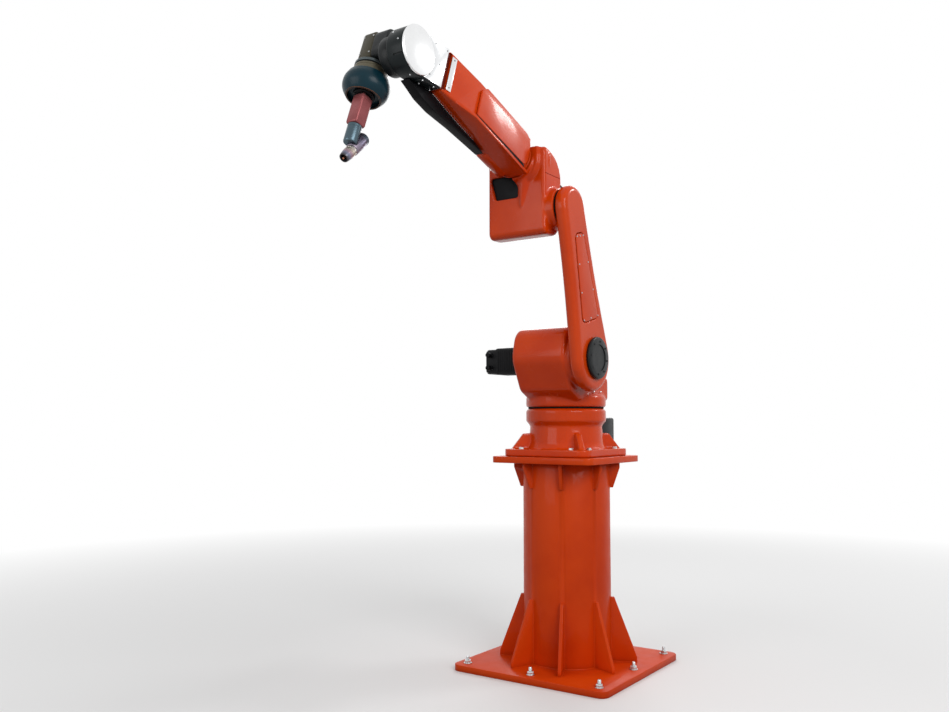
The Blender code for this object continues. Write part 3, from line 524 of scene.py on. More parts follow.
blockGrey = makeSatin("wrist_block_grey", (0.007, 0.011, 0.012), (0.28, 0.40), grainScale=500.0, Coat_Weight=0.08,
                      Coat_Roughness=0.15)
bellRubber = makeSatin("bell_shell", (0.003, 0.026, 0.039), (0.30, 0.42), grainScale=700.0, grainDepth=0.0003,
                       Coat_Weight=0.12, Coat_Roughness=0.2)
# Brown for the rings at the bell's mouth, standing for the orange reflections of sparks: painted reflection
rimReflectionBrown = makeSatin("bell_rim", (0.200, 0.075, 0.026), (0.30, 0.45), 0.2)
copperRed = makeSatin("torch_copper_red", (0.320, 0.090, 0.094), (0.26, 0.40), 0.25, grainScale=650.0, variation=0.22)
tipCopper = makeSatin("contact_tip_copper", (0.72, 0.30, 0.17), (0.25, 0.38), 0.9, grainScale=650.0)
aluminium = makeBrushed("brushed_aluminium", (0.80, 0.81, 0.82), (0.16, 0.26), (1.0, 1.0, 14.0), 420.0, forearmTurn)
zinc = makeBrushed("zinc_screws", (0.62, 0.63, 0.64), (0.24, 0.38), (1, 1, 1), 600.0)
blackOxide = makeBrushed("black_oxide_screws", (0.055, 0.055, 0.058), (0.30, 0.42), (1, 1, 1), 700.0)
# Dull steel with a blue-teal tint that stands for the arc's reflected light: painted reflection
arcTintedSteel = makeBrushed("neck_steel", (0.075, 0.112, 0.135), (0.26, 0.40), (1, 1, 1), 500.0)
print("materials made")


# Screws and bolts, each modelled once, standing on z = 0 with the head up; sizes are set where they are used

# A socket-head screw of 8 mm head, with its hexagon hole and rounded rim
def capScrewModel():
    head = turnedPiece("cap_screw", [(0.0040, -0.001), (0.0040, 0.0034), (0.0037, 0.0040)], 18)
    hole = turnedPiece("hexagon", [(0.0022, 0.0016), (0.0022, 0.006)], 6)
    return cutOut(head, [hole])


# A hexagon bolt on its washer, about 20 mm wide
def hexBoltModel():
    washer = turnedPiece("washer", [(0.0100, 0.0), (0.0103, 0.0004), (0.0103, 0.0016), (0.0100, 0.0020),
                                    (0.0050, 0.0020)], 24)
    head = turnedPiece("hex_head", [(0.0088, 0.0019), (0.0088, 0.0068), (0.0076, 0.0078)], 6)
    return joinPieces("hex_bolt", [washer, head])


# A floor anchor: washer, nut and the stud's end
def anchorModel():
    washer = turnedPiece("washer", [(0.0190, 0.0), (0.0194, 0.0006), (0.0194, 0.0028), (0.0190, 0.0034),
                                    (0.0100, 0.0034)], 28)
    nut = turnedPiece("nut", [(0.0150, 0.0033), (0.0158, 0.0046), (0.0158, 0.0150), (0.0150, 0.0162),
                              (0.0092, 0.0162)], 6)
    rows = [(0.0078, 0.012)]
    for k in range(9):
        rows += [(0.0080, 0.0150 + 0.002 * k), (0.0072, 0.0160 + 0.002 * k)]
    stud = turnedPiece("stud", rows + [(0.0066, 0.0345)], 20)
    return joinPieces("anchor", [washer, nut, stud])


# A countersunk screw with a cross recess, flush with the surface
def flatScrewModel():
    head = turnedPiece("flat_screw", [(0.0030, -0.0016), (0.0045, -0.0002), (0.0045, 0.0003), (0.0041, 0.0007)], 20)
    first = block("slot", (-0.0024, -0.0005, -0.0003), (0.0024, 0.0005, 0.002))
    second = block("slot", (-0.0005, -0.0024, -0.0003), (0.0005, 0.0024, 0.002))
    return cutOut(cutOut(head, [first]), [second])


models = [capScrewModel(), hexBoltModel(), anchorModel(), flatScrewModel()]
capScrew, hexBolt, anchor, flatScrew = models


# A fillet weld along a run of points: a thick round wire whose sections swell and shrink like solidified drops
def weldBead(points, width):
    deselect()
    curve = bpy.data.curves.new("weld", "CURVE")
    curve.dimensions = "3D"
    curve.bevel_depth = width
    curve.bevel_resolution = 2
    curve.use_fill_caps = True
    line = curve.splines.new("POLY")
    line.points.add(len(points) - 1)
    for k, (point, place) in enumerate(zip(line.points, points)):
        point.co = (*place, 1)
        point.radius = 1.0 if k % 2 else 0.78
    run = bpy.data.objects.new("weld", curve)
    bpy.context.collection.objects.link(run)
    focus(run)
    bpy.ops.object.convert(target="MESH")
    return bpy.context.object


# Riser: floor plate with its anchors, welded column, access door

riser = {
    "plateThickness": 0.030, "plateSide": 0.80, "columnRadius": 0.210, "height": 1.00,
    "gussets": 8, "gussetThickness": 0.015, "footReach": 0.33, "footHeight": 0.33,
    "headReach": 0.258, "headDrop": 0.12,
    "weldWidth": 0.0042, "weldStep": 0.0045, "ringSteps": 300, "anchorInset": 0.055,
    "doorLow": 0.42, "doorHigh": 0.72, "doorHalfWidth": 0.10, "doorFace": -0.230,
}


def makeRiser():
    for node, edge in (("floor_plate", 0.003), ("riser_top_plate", 0.0025), ("riser_column", 0.0015)):
        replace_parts(finish(trimmedNode(node, "base", edge), "base", structurePaint), node)
    inset = riser["plateSide"] / 2 - riser["anchorInset"]
    spots = [spot((x, y, riser["plateThickness"]), "+Z", 1.0, 17 * (x + 2 * y) * 10)
             for x in (-inset, 0, inset) for y in (-inset, 0, inset) if x or y]
    finish(repeatPiece("floor_anchors", anchor, spots), "base", zinc)
    radius, low, high = riser["columnRadius"], riser["plateThickness"], riser["height"] - riser["plateThickness"]
    beads, steps = [], riser["ringSteps"]
    for height in (low + 0.001, high - 0.001):
        ring = [((radius + 0.001) * math.cos(a), (radius + 0.001) * math.sin(a), height)
                for a in (math.tau * k / steps for k in range(steps + 1))]
        beads.append(weldBead(ring, riser["weldWidth"]))
    side = riser["gussetThickness"] / 2 + 0.001
    # start, end, height and whether the run stands upright, for each weld along a gusset
    runs = ((low, riser["footHeight"], 0, True), (radius, riser["footReach"], low, False),
            (high - riser["headDrop"], high, 0, True), (radius, riser["headReach"], high, False))
    for k in range(riser["gussets"]):
        angle = math.tau * (k + 0.5) / riser["gussets"]
        out, across = Vector((math.cos(angle), math.sin(angle), 0)), Vector((-math.sin(angle), math.cos(angle), 0))
        for hand in (-1, 1):
            for start, end, height, upright in runs:
                steps = int((end - start) / riser["weldStep"])
                run = []
                for j in range(steps + 1):
                    along = start + (end - start) * j / steps
                    place = out * (radius if upright else along) + across * hand * side
                    place.z = along if upright else height
                    run.append(place)
                beads.append(weldBead(run, riser["weldWidth"] * 0.8))
    finish(joinPieces("riser_welds", beads), "base", structurePaint, 60)
    makeDoor()
    print("riser made")


# The column's access door: a pressed sheet on its frame, two hinges, two turn locks and four screws
def makeDoor():
    face, low, high, half = riser["doorFace"], riser["doorLow"], riser["doorHigh"], riser["doorHalfWidth"]
    door = trimmedNode("riser_door", "base", 0.002)
    rim, core, field = 0.010, 0.0125, 0.035      # how far each stays inside the door's edge
    outer = block("outer", (face - 0.01, -half + rim, low + rim), (face + 0.004, half - rim, high - rim))
    inner = block("inner", (face - 0.02, -half + core, low + core), (face + 0.01, half - core, high - core), 0.004)
    cutOut(door, [cutOut(outer, [inner])])
    panel = block("field", (face - 0.01, -half + field, low + field),
                  (face + 0.0025, half - field, high - field), 0.002)
    cutOut(door, [panel])
    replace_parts(finish(door, "base", darkGrey), "riser_door")
    hinges = []
    rows = [(0.0055, -0.024), (0.006, -0.0235), (0.006, -0.0085), (0.0050, -0.008), (0.0050, -0.007),
            (0.006, -0.0065), (0.006, 0.0065), (0.0050, 0.007), (0.0050, 0.008), (0.006, 0.0085),
            (0.006, 0.0235), (0.0055, 0.024)]
    for height in (low + 0.05, high - 0.05):
        barrel = turnedPiece("hinge", rows, 20)
        hinges.append(applyPlace(barrel, Matrix.Translation((face + 0.008, half + 0.0045, height))))
        hinges.append(block("leaf", (face - 0.002, half - 0.030, height - 0.022),
                            (face + 0.001, half + 0.001, height + 0.022), 0.0008))
    finish(joinPieces("door_hinges", hinges), "base", zinc)
    locks = []
    rows = [(0.0135, -0.004), (0.0135, 0.002), (0.0125, 0.003), (0.0095, 0.003), (0.0090, 0.0022)]
    for height in (low + 0.07, high - 0.07):
        lock = turnedPiece("lock", rows, 28)
        slot = block("slot", (-0.0065, -0.0012, 0.0008), (0.0065, 0.0012, 0.006))
        cutOut(lock, [slot])
        locks.append(applyPlace(lock, Matrix.Translation((face, -half + 0.022, height)) @ facings["-X"]))
    finish(joinPieces("door_locks", locks), "base", zinc)
    spots = [spot((face - 0.002, half - 0.013 - 0.010 * (k % 2), h + (0.012 if k < 2 else -0.012)), "-X", 0.55)
             for h in (low + 0.05, high - 0.05) for k in range(4)]
    finish(repeatPiece("door_screws", flatScrew, spots), "base", zinc)


makeRiser()


# Robot base: cast foot, its bolts, the connector box and its plugs

baseFoot = {
    "top": 1.0353, "bolts": ((0.195, 0.135), (0.135, 0.195)), "boltSize": 1.35, "boxBack": -0.310, "boxLow": 1.0356,
    "sockets": ((-0.065, 0.105, 0.021), (0.0, 0.105, 0.021), (0.065, 0.105, 0.021),     # across, up, radius
                (-0.04, 0.045, 0.016), (0.04, 0.045, 0.016)),
    "grips": 24,
    "seal": ((0.1520, 1.2304), (0.1845, 1.2304), (0.1850, 1.2312), (0.1850, 1.2348), (0.1845, 1.2356),
             (0.1520, 1.2356)),
}


def makeBase():
    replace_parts(finish(castNode("base_casting", "base", 0.0045, 6), "base", paint), "base_casting")
    spots = [spot((sx * x, sy * y, baseFoot["top"] - 0.001), "+Z", baseFoot["boltSize"], 25 * sx + 40 * sy)
             for sx in (-1, 1) for sy in (-1, 1) for x, y in baseFoot["bolts"]]
    finish(repeatPiece("base_bolts", hexBolt, spots), "base", zinc)
    box = trimmedNode("connector_box", "base", 0.002)
    low = baseFoot["boxLow"]
    seam = block("seam", (-0.40, -0.20, low + 0.1285), (0.0, 0.20, low + 0.1300))
    core = block("core", (-0.308, -0.108, low + 0.12), (0.0, 0.108, low + 0.14))
    cutOut(box, [cutOut(seam, [core])])
    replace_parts(finish(box, "base", darkGrey), "connector_box")
    lidSpots = [spot((x, y, low + 0.1495), "+Z", 0.8) for x in (-0.295, -0.225) for y in (-0.095, 0.0, 0.095)]
    finish(repeatPiece("box_screws", capScrew, lidSpots), "base", zinc)
    back = baseFoot["boxBack"]
    plate = block("connector_plate", (back - 0.006, -0.098, low + 0.012), (back - 0.0003, 0.098, low + 0.138), 0.0012)
    finish(plate, "base", aluminium)
    plugs, screws = [], []
    for y, z, radius in baseFoot["sockets"]:
        flange = block("flange", (back - 0.009, y - radius - 0.002, low + z - radius - 0.002),
                       (back - 0.006, y + radius + 0.002, low + z + radius + 0.002), 0.002)
        rows = [(0.93, 0.0), (0.93, 0.005), (1.0, 0.006), (1.0, 0.0085), (0.94, 0.009), (0.94, 0.0105), (1.0, 0.011),
                (1.0, 0.0165), (0.92, 0.0185), (0.70, 0.0185), (0.66, 0.0150)]
        ring = turnedPiece("ring", [(radius * share, height) for share, height in rows], 36)
        grip = turnedPiece("grip", [(0.0011, 0.0112), (0.0011, 0.0162)], 6)
        grips = [copyPiece(grip, Matrix.Rotation(math.tau * k / baseFoot["grips"], 4, "Z")
                           @ Matrix.Translation((radius, 0, 0))) for k in range(baseFoot["grips"])]
        bpy.data.objects.remove(grip)
        plug = joinPieces("plug", [ring, *grips])
        plugs += [flange, applyPlace(plug, Matrix.Translation((back - 0.009, y, low + z)) @ facings["-X"])]
        corner = radius - 0.0015
        screws += [spot((back - 0.0088, y + dy * corner, low + z + dz * corner), "-X", 0.42)
                   for dy in (-1, 1) for dz in (-1, 1)]
    plugs = finish(joinPieces("connector_plugs", plugs), "base", blackPlastic)
    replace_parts(plugs, "connector_panel")
    finish(repeatPiece("connector_screws", flatScrew, screws), "base", zinc)
    finish(ringPiece("turret_seal", baseFoot["seal"], 96), "base", sealRubber)
    print("robot base made")


makeBase()


motorParts = {      # radius and height of each row
    "sockets": ((0.0105, 0.0), (0.0110, 0.001), (0.0110, 0.006), (0.0098, 0.0065), (0.0098, 0.0085), (0.0110, 0.009),
                (0.0110, 0.0125), (0.0098, 0.0135), (0.0070, 0.0135), (0.0070, 0.0110)),
    "plugs": ((0.0118, 0.0080), (0.0124, 0.0088), (0.0124, 0.0150), (0.0114, 0.0158), (0.0114, 0.0185),
              (0.0124, 0.0193), (0.0124, 0.0330), (0.0112, 0.0355), (0.0070, 0.0362)),
}


# A servo motor with its ribbed body, end bell, two round connectors and through bolts,
# modelled with its mounting face on z = 0 and its shaft's axis along z
def servoMotor(name, node, body, place, facing, length, width, connectorSide=1):
    half, cap = width / 2, 0.32 * length
    shell = block("shell", (-half, -half, 0.0003), (half, half, length - cap))
    editMesh(shell)
    choose(shell, "edges", lambda e: abs(e.verts[0].co.z - e.verts[1].co.z) > 0.01)
    bpy.ops.mesh.bevel(offset=0.15 * width, segments=3, affect="EDGES")
    bpy.ops.object.mode_set(mode="OBJECT")
    useModifier(shell, "BEVEL", width=0.0012, segments=2, limit_method="ANGLE", angle_limit=math.radians(50))
    grooves = []
    count = max(3, int((length - cap - 0.03) / 0.011))
    for k in range(count):
        z = 0.016 + (length - cap - 0.028) * (k + 0.5) / count
        outer = block("groove", (-half - 0.01, -half - 0.01, z - 0.0022), (half + 0.01, half + 0.01, z + 0.0022))
        inner = block("inner", (-half + 0.003, -half + 0.003, z - 0.01), (half - 0.003, half - 0.003, z + 0.01))
        grooves.append(cutOut(outer, [inner]))
    cutOut(shell, grooves)
    rim = half * 0.93
    bell = block("end_bell", (-rim, -rim, length - cap + 0.0004), (rim, rim, length))
    editMesh(bell)
    choose(bell, "edges", lambda e: abs(e.verts[0].co.z - e.verts[1].co.z) > 0.005)
    bpy.ops.mesh.bevel(offset=0.17 * width, segments=4, affect="EDGES")
    choose(bell, "edges", lambda e: min(v.co.z for v in e.verts) > length - 0.001)
    bpy.ops.mesh.bevel(offset=0.008, segments=4, affect="EDGES")
    bpy.ops.object.mode_set(mode="OBJECT")
    dish = turnedPiece("dish", [(0.27 * width, length - 0.0015), (0.27 * width, length + 0.01)], 36)
    cutOut(bell, [dish])
    matrix = Matrix.Translation(place) @ facings[facing] @ Matrix.Rotation(math.radians(90 * connectorSide), 4, "Z")
    motor = applyPlace(joinPieces(name, [shell, bell]), matrix)
    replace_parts(finish(motor, body, castBlack), node)
    seats = [matrix @ Matrix.Translation((x, -rim, length - cap / 2)) @ facings["-Y"]
             @ Matrix.Translation((0, 0, -0.006)) for x in (-0.24 * width, 0.24 * width)]
    for part, surface in (("sockets", zinc), ("plugs", blackPlastic)):
        model = turnedPiece(part, motorParts[part], 28)
        finish(repeatPiece(name + "_" + part, model, seats), body, surface)
        bpy.data.objects.remove(model)
    bolts = [matrix @ spot((sx * 0.40 * width, sy * 0.40 * width, length - 0.010), "+Z", 0.9)
             for sx in (-1, 1) for sy in (-1, 1)]
    finish(repeatPiece(name + "_bolts", capScrew, bolts), body, zinc)


# Carousel: turret casting with its shoulder, and two motors

carousel = {"shoulder": (0.16, 0.0, 1.46), "padFace": -0.137, "padScrews": (0.096, 12), "deck": 1.385,
            "deckScrews": (0.176, 16, 1.309), "motorLength": 0.190}


def makeCarousel():
    casting = castNode("carousel_casting", "carousel", 0.005, 8)
    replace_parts(finish(casting, "carousel", paint), "carousel_casting")
    x, y, z = carousel["shoulder"]
    face, length = y + carousel["padFace"], carousel["motorLength"]
    servoMotor("shoulder_servo", "shoulder_motor", "carousel", (x, face, z), "-Y", length, 0.130)
    servoMotor("turret_servo", "turret_motor", "carousel", (-0.082, -0.035, carousel["deck"]), "+Z", length, 0.105, 3)
    radius, count = carousel["padScrews"]
    rim = ringSpots((x, face + 0.001, z), radius, count, "-Y", 1.0, 15)
    finish(repeatPiece("shoulder_screws", capScrew, rim), "carousel", zinc)
    radius, count, height = carousel["deckScrews"]
    turret = ringSpots((0, 0, height), radius, count, "+Z", 1.1, 11.25)
    finish(repeatPiece("turret_screws", capScrew, turret), "carousel", zinc)
    print("carousel made")


makeCarousel()


# Lower arm: glossy casting with a long cover, and a cap over the shoulder

lowerArm = {"inner": 0.186, "outer": 0.248, "coverLow": 0.175, "coverHigh": 0.581, "capFace": 0.268,
            "footHalf": 0.081, "headHalf": 0.042, "seats": ((0.0, 0.120), (0.70, 0.086))}


def makeLowerArm():
    casting = castNode("lower_arm_casting", "lower_arm", 0.004, 8)
    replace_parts(finish(casting, "lower_arm", paint), "lower_arm_casting")
    cover = trimmedNode("lower_arm_cover", "lower_arm", 0.0010)
    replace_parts(finish(cover, "lower_arm", paint), "lower_arm_cover")
    low, high = lowerArm["coverLow"] + 0.014, lowerArm["coverHigh"] - 0.014
    rows = []
    for share in (0.0, 0.33, 0.67, 1.0):
        z = low + (high - low) * share
        half = lowerArm["footHalf"] - (lowerArm["footHalf"] - lowerArm["headHalf"]) * share - 0.012
        rows += [(-half, z), (half, z)]
    rows += [(0.0, low), (0.0, high)]
    spots = [spot((x, lowerArm["outer"] + 0.0015, z), "+Y", 0.85) for x, z in rows]
    finish(repeatPiece("cover_screws", capScrew, spots), "lower_arm", zinc)
    cap = trimmedNode("shoulder_cap", "lower_arm", 0.001)
    dish = turnedPiece("dish", [(0.062, -0.004), (0.064, 0.01)], 48)
    cutOut(cap, [applyPlace(dish, Matrix.Translation((0, lowerArm["capFace"], 0)) @ facings["+Y"])])
    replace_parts(finish(cap, "lower_arm", darkGrey), "shoulder_cap")
    spots = ringSpots((0, lowerArm["capFace"] - 0.001, 0), 0.077, 8, "+Y", 1.1, 22.5)
    finish(repeatPiece("cap_screws", capScrew, spots), "lower_arm", blackOxide)
    rings = []
    for z, radius in lowerArm["seats"]:
        rows = [(radius - 0.0075, 0.0), (radius - 0.001, 0.0), (radius, 0.001), (radius, 0.0042),
                (radius - 0.001, 0.0052), (radius - 0.0075, 0.0052)]
        ring = ringPiece("ring", rows)
        rings.append(applyPlace(ring, Matrix.Translation((0, lowerArm["inner"] - 0.0056, z)) @ facings["+Y"]))
    finish(joinPieces("arm_seals", rings), "lower_arm", sealRubber)
    print("lower arm made")


makeLowerArm()


# Elbow: casting, black pocket cover and three motors

elbow = {
    "right": 0.142, "back": -0.024, "seamHeight": 0.153, "pocketFace": 0.086,
    "pocketScrews": ((-0.136, 0.040), (-0.018, 0.040), (-0.112, -0.044), (-0.018, -0.044)),
    "motors": (("roll", -0.094, 0.122, 0.078), ("bend", -0.006, 0.118, 0.074), ("twist", 0.078, 0.134, 0.074)),
    "motorLength": 0.130,
}


def makeElbow():
    casting = castNode("elbow_casting", "elbow", 0.004, 8)
    side, height = elbow["right"], elbow["seamHeight"]
    seam = block("seam", (-0.20, side - 0.0030, height - 0.0016), (0.20, side + 0.02, height + 0.0016))
    cutOut(casting, [applyPlace(seam, elbowUpright)])
    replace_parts(finish(casting, "elbow", paint), "elbow_casting")
    cover = trimmedNode("elbow_pocket_cover", "elbow", 0.002)
    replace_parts(finish(cover, "elbow", blackPlastic), "elbow_pocket_cover")
    spots = [elbowUpright @ spot((elbow["pocketFace"] - 0.001, y, z), "+X", 0.9) for y, z in elbow["pocketScrews"]]
    finish(repeatPiece("pocket_screws", capScrew, spots), "elbow", blackOxide)
    for label, y, z, width in elbow["motors"]:
        servoMotor(label + "_servo", label + "_motor", "elbow", (elbow["back"], y, z), "-X",
                   elbow["motorLength"], width)
    print("elbow made")


makeElbow()


# Forearm: casting with lips and panels, strap, wrist block with its plates, hose guard

forearm = {     # outlines are x and z, the guard's with each corner's radius
    "reach": 0.99, "front": 0.805, "blockStart": 0.8163, "halfWidth": 0.078, "frontHalf": 0.040, "top": 0.136,
    "bottom": -0.056, "wristRadius": 0.096, "taper": 0.185, "strapScrews": (-0.028, 0.104),
    # outline of the black strip under the side panel, which paints the shadow beneath the panel's lower edge
    "seal": ((0.2180, -0.0742), (0.6150, -0.0608), (0.6150, -0.0558), (0.2360, -0.0588)),
    "belowPanel": ((0.1900, -0.0584), (0.1900, -0.1000), (0.6500, -0.1000), (0.6500, -0.0552)),
    "guard": ((0.9540, -0.0925, 0.0), (0.9050, -0.1045, 0.050), (0.8600, -0.1165, 0.060), (0.7750, -0.1205, 0.150),
              (0.6300, -0.1060, 0.200), (0.4080, -0.0945, 0.0), (0.4950, -0.0798, 0.0), (0.6200, -0.0755, 0.0),
              (0.8050, -0.0575, 0.0), (0.8163, -0.0575, 0.0), (0.9280, -0.0848, 0.0)),
    # outline of the thin aluminium strip that paints the bright highlight along the guard's top edge
    "trim": ((0.8040, -0.0578), (0.6200, -0.0758), (0.4960, -0.0800), (0.4960, -0.0840), (0.6200, -0.0798),
             (0.8040, -0.0618)),
    "highlightStripScrews": ((0.780, -0.0621), (0.700, -0.0699), (0.620, -0.0778), (0.560, -0.0798), (0.510, -0.0815)),
    "blockSlots": ((56, 0.006), (-40, 0.014)),      # degrees round the wrist, across
    "rimScrews": ((-7, 0.020), (20, -0.020), (-100, 0.015), (100, 0.010)),
    "shoeScrews": ((0.033, 0.030), (0.088, -0.001), (0.104, 0.030), (0.018, -0.001)),
    "plateScrews": ((0.8270, 0.118), (0.9020, 0.098), (0.8560, 0.030), (0.8980, -0.046)),
}


def makeForearm():
    front, half, top, bottom = forearm["front"], forearm["frontHalf"], forearm["top"], forearm["bottom"]
    casting = trimmedNode("forearm_casting", "forearm", 0.0015)
    step = block("step", (front - 0.0135, half - 0.0065, bottom + 0.007), (front + 0.002, half + 0.03, top - 0.007))
    cutOut(casting, [step])
    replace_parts(finish(casting, "forearm", paint), "forearm_casting")
    # A dark red sleeve fills the gap between the casting and the wrist block so that the gap shows as shadowed: painted
    # shade
    gapShadeSleeve = block("gap_sleeve", (front - 0.0133, -half + 0.0070, bottom + 0.0070),
                   (forearm["blockStart"] - 0.0002, half - 0.0062, top - 0.0072))
    finish(gapShadeSleeve, "forearm", gapShadePaint)
    # A black rubber strip under the side panel stands for the shadow beneath the panel's lower edge: painted shade
    panelShadeStrip = outlinePiece("panel_seal", forearm["seal"], 0.0781, 0.0882, 0.0004)
    finish(panelShadeStrip, "forearm", sealRubber)
    for node in ("side_panel_left", "side_panel_right", "forearm_flange"):
        piece = trimmedNode(node, "forearm", 0.0010)
        if node == "side_panel_left":
            cutOut(piece, [outlinePiece("below", forearm["belowPanel"], 0.06, 0.12)])
        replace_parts(finish(piece, "forearm", paint), node)
    strap = trimmedNode("front_strap", "forearm", 0.0006)
    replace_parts(finish(strap, "forearm", aluminium), "front_strap")
    slope = math.atan2(forearm["halfWidth"] - half, forearm["taper"])
    seat = Matrix.Translation((front, half, 0)) @ Matrix.Rotation(-slope, 4, "Z")
    spots = [seat @ spot((-0.027, 0.0042, z), "+Y", 0.80) for z in forearm["strapScrews"]]
    finish(repeatPiece("strap_screws", flatScrew, spots), "forearm", blackOxide)
    makeWristBlock()
    guard = outlinePiece("guard", roundCorners(forearm["guard"], 6), -0.052, -0.008, 0.004, 3)
    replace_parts(finish(guard, "forearm", blackPlastic), "hose_guard")
    # A thin aluminium strip along the guard's top edge stands for the bright highlight on that edge: painted highlight
    trim = outlinePiece("guard_trim", forearm["trim"], -0.0082, -0.0055, 0.0005)
    finish(trim, "forearm", aluminium)
    spots = [spot((x, -0.0065, z), "+Y", 0.5) for x, z in forearm["highlightStripScrews"]]
    finish(repeatPiece("guard_screws", flatScrew, spots), "forearm", blackOxide)
    print("forearm made")


# The wrist's axis, turned by the angle about it
def aroundWrist(angle):
    return Matrix.Translation((forearm["reach"], 0, 0)) @ Matrix.Rotation(math.radians(-angle), 4, "Y")


def makeWristBlock():
    reach, radius = forearm["reach"], forearm["wristRadius"]
    casting = trimmedNode("wrist_block", "forearm", 0.0015)
    slots = []
    for angle, y in forearm["blockSlots"]:
        cutter = block("slot", (radius - 0.005, y - 0.022, -0.0032), (radius + 0.01, y + 0.022, 0.0032), 0.0015)
        slots.append(applyPlace(cutter, aroundWrist(angle)))
    cutOut(casting, slots)
    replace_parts(finish(casting, "forearm", blockGrey), "wrist_block")
    start, low = forearm["blockStart"], -forearm["bottom"]
    dive = math.asin(radius / math.hypot(reach - start, low)) - math.atan2(low, reach - start)
    under = Matrix.Translation((start, 0, -low)) @ Matrix.Rotation(dive, 4, "Y")
    shoe = applyPlace(block("shoe", (0.010, -0.007, -0.0032), (0.114, 0.0365, 0.001), 0.0012), under)
    finish(shoe, "forearm", blockGrey)
    spots = [under @ spot((x, y, -0.0030), "-Z", 0.85) for x, y in forearm["shoeScrews"]]
    spots += [aroundWrist(angle) @ spot((radius - 0.001, y, 0), "+X", 0.85) for angle, y in forearm["rimScrews"]]
    finish(repeatPiece("block_screws", capScrew, spots), "forearm", zinc)
    plate = trimmedNode("wrist_side_plate", "forearm", 0.0008)
    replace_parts(finish(plate, "forearm", aluminium), "wrist_side_plate")
    disc = trimmedNode("wrist_disc", "forearm", 0.0008)
    centre = places["forearm"] @ Vector((reach, 0, 0))
    faced = makeFaced("faced_aluminium", (0.87, 0.875, 0.88), (0.14, 0.22), centre, facings["+Y"], 260.0)
    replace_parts(finish(disc, "forearm", faced), "wrist_disc")
    plateFace = forearm["frontHalf"] + 0.0038
    spots = [spot((x, plateFace, z), "+Y", 0.75) for x, z in forearm["plateScrews"]]
    finish(repeatPiece("plate_screws", flatScrew, spots), "forearm", blackOxide)


makeForearm()


# Wrist: rotor and link beside the block, gear housing, dull flange

wrist = {
    "offset": -0.187, "housing": ((-0.120, -0.233, -0.050), (0.024, -0.1583, 0.050)), "seam": (0.0065, 0.0082),
    "faceScrews": ((-0.096, -0.221), (-0.096, -0.172), (-0.014, -0.172), (-0.014, -0.221), (0.0155, -0.190)),
    "sideScrews": (-0.032, 0.032), "endScrews": (-0.032, 0.014),
}


def makeWrist():
    rotor = trimmedNode("wrist_rotor", "wrist", 0.0015)
    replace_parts(finish(rotor, "wrist", darkGrey), "wrist_rotor")
    housing = trimmedNode("wrist_housing", "wrist", 0.0015)
    low, high = wrist["housing"]
    start, end = wrist["seam"]
    outer = block("seam", (start, low[1] - 0.02, -0.08), (end, high[1] + 0.02, 0.08))
    inner = block("core", (-0.02, low[1] + 0.0015, low[2] + 0.0015), (0.03, high[1] - 0.0015, high[2] - 0.0015), 0.010)
    cutOut(housing, [cutOut(outer, [inner])])
    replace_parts(finish(housing, "wrist", olive), "wrist_housing")
    spots = []
    for side, facing in ((high[2] - 0.001, "+Z"), (low[2] + 0.001, "-Z")):
        spots += [spot((x, y, side), facing, 0.9) for x, y in wrist["faceScrews"]]
    spots += [spot((x, low[1] + 0.001, z), "-Y", 0.9) for x in (-0.100, -0.012) for z in wrist["sideScrews"]]
    spots += [spot((low[0] + 0.001, wrist["offset"] + y, z), "-X", 0.9)
              for y in wrist["endScrews"] for z in wrist["sideScrews"]]
    finish(repeatPiece("housing_screws", capScrew, spots), "wrist", zinc)
    flange = trimmedNode("wrist_flange", "wrist", 0.0008)
    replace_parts(finish(flange, "wrist", dullSteel), "wrist_flange")
    print("wrist made")


makeWrist()


# Tool: collar, bell-shaped shroud, torch body, neck and nozzle

tool = {
    "collar": (0.042, 0.080, 0.070),    # start, end, radius
    # the bell's rows of radius and distance, from the collar to the mouth
    "bell": ((0.0670, 0.0804), (0.0836, 0.0806), (0.0850, 0.0811), (0.0859, 0.0823), (0.0869, 0.0852), (0.0887, 0.0897),
             (0.0907, 0.0943), (0.0927, 0.0992), (0.0944, 0.1045), (0.0955, 0.1110), (0.0960, 0.1180), (0.0958, 0.1250),
             (0.0951, 0.1310), (0.0939, 0.1368), (0.0920, 0.1425), (0.0893, 0.1482), (0.0860, 0.1535), (0.0823, 0.1588),
             (0.0786, 0.1634), (0.0754, 0.1669), (0.0731, 0.1691)),
    "bellEnd": 0.1723, "mouth": 0.072, "rimTube": 0.0008, "clampScrews": (0.0375, 6),
    "bodyStart": 0.1656, "bodyEnd": 0.3036, "bodyHalf": 0.0295, "neckEnd": 0.3856, "neckRadius": 0.0285,
    "bend": 27.0, "bands": ((-0.0660, -0.0600), (-0.0560, -0.0500)), "nozzleRadius": 0.0235, "holderEnd": 0.022,
    "nozzleEnd": 0.084,
}


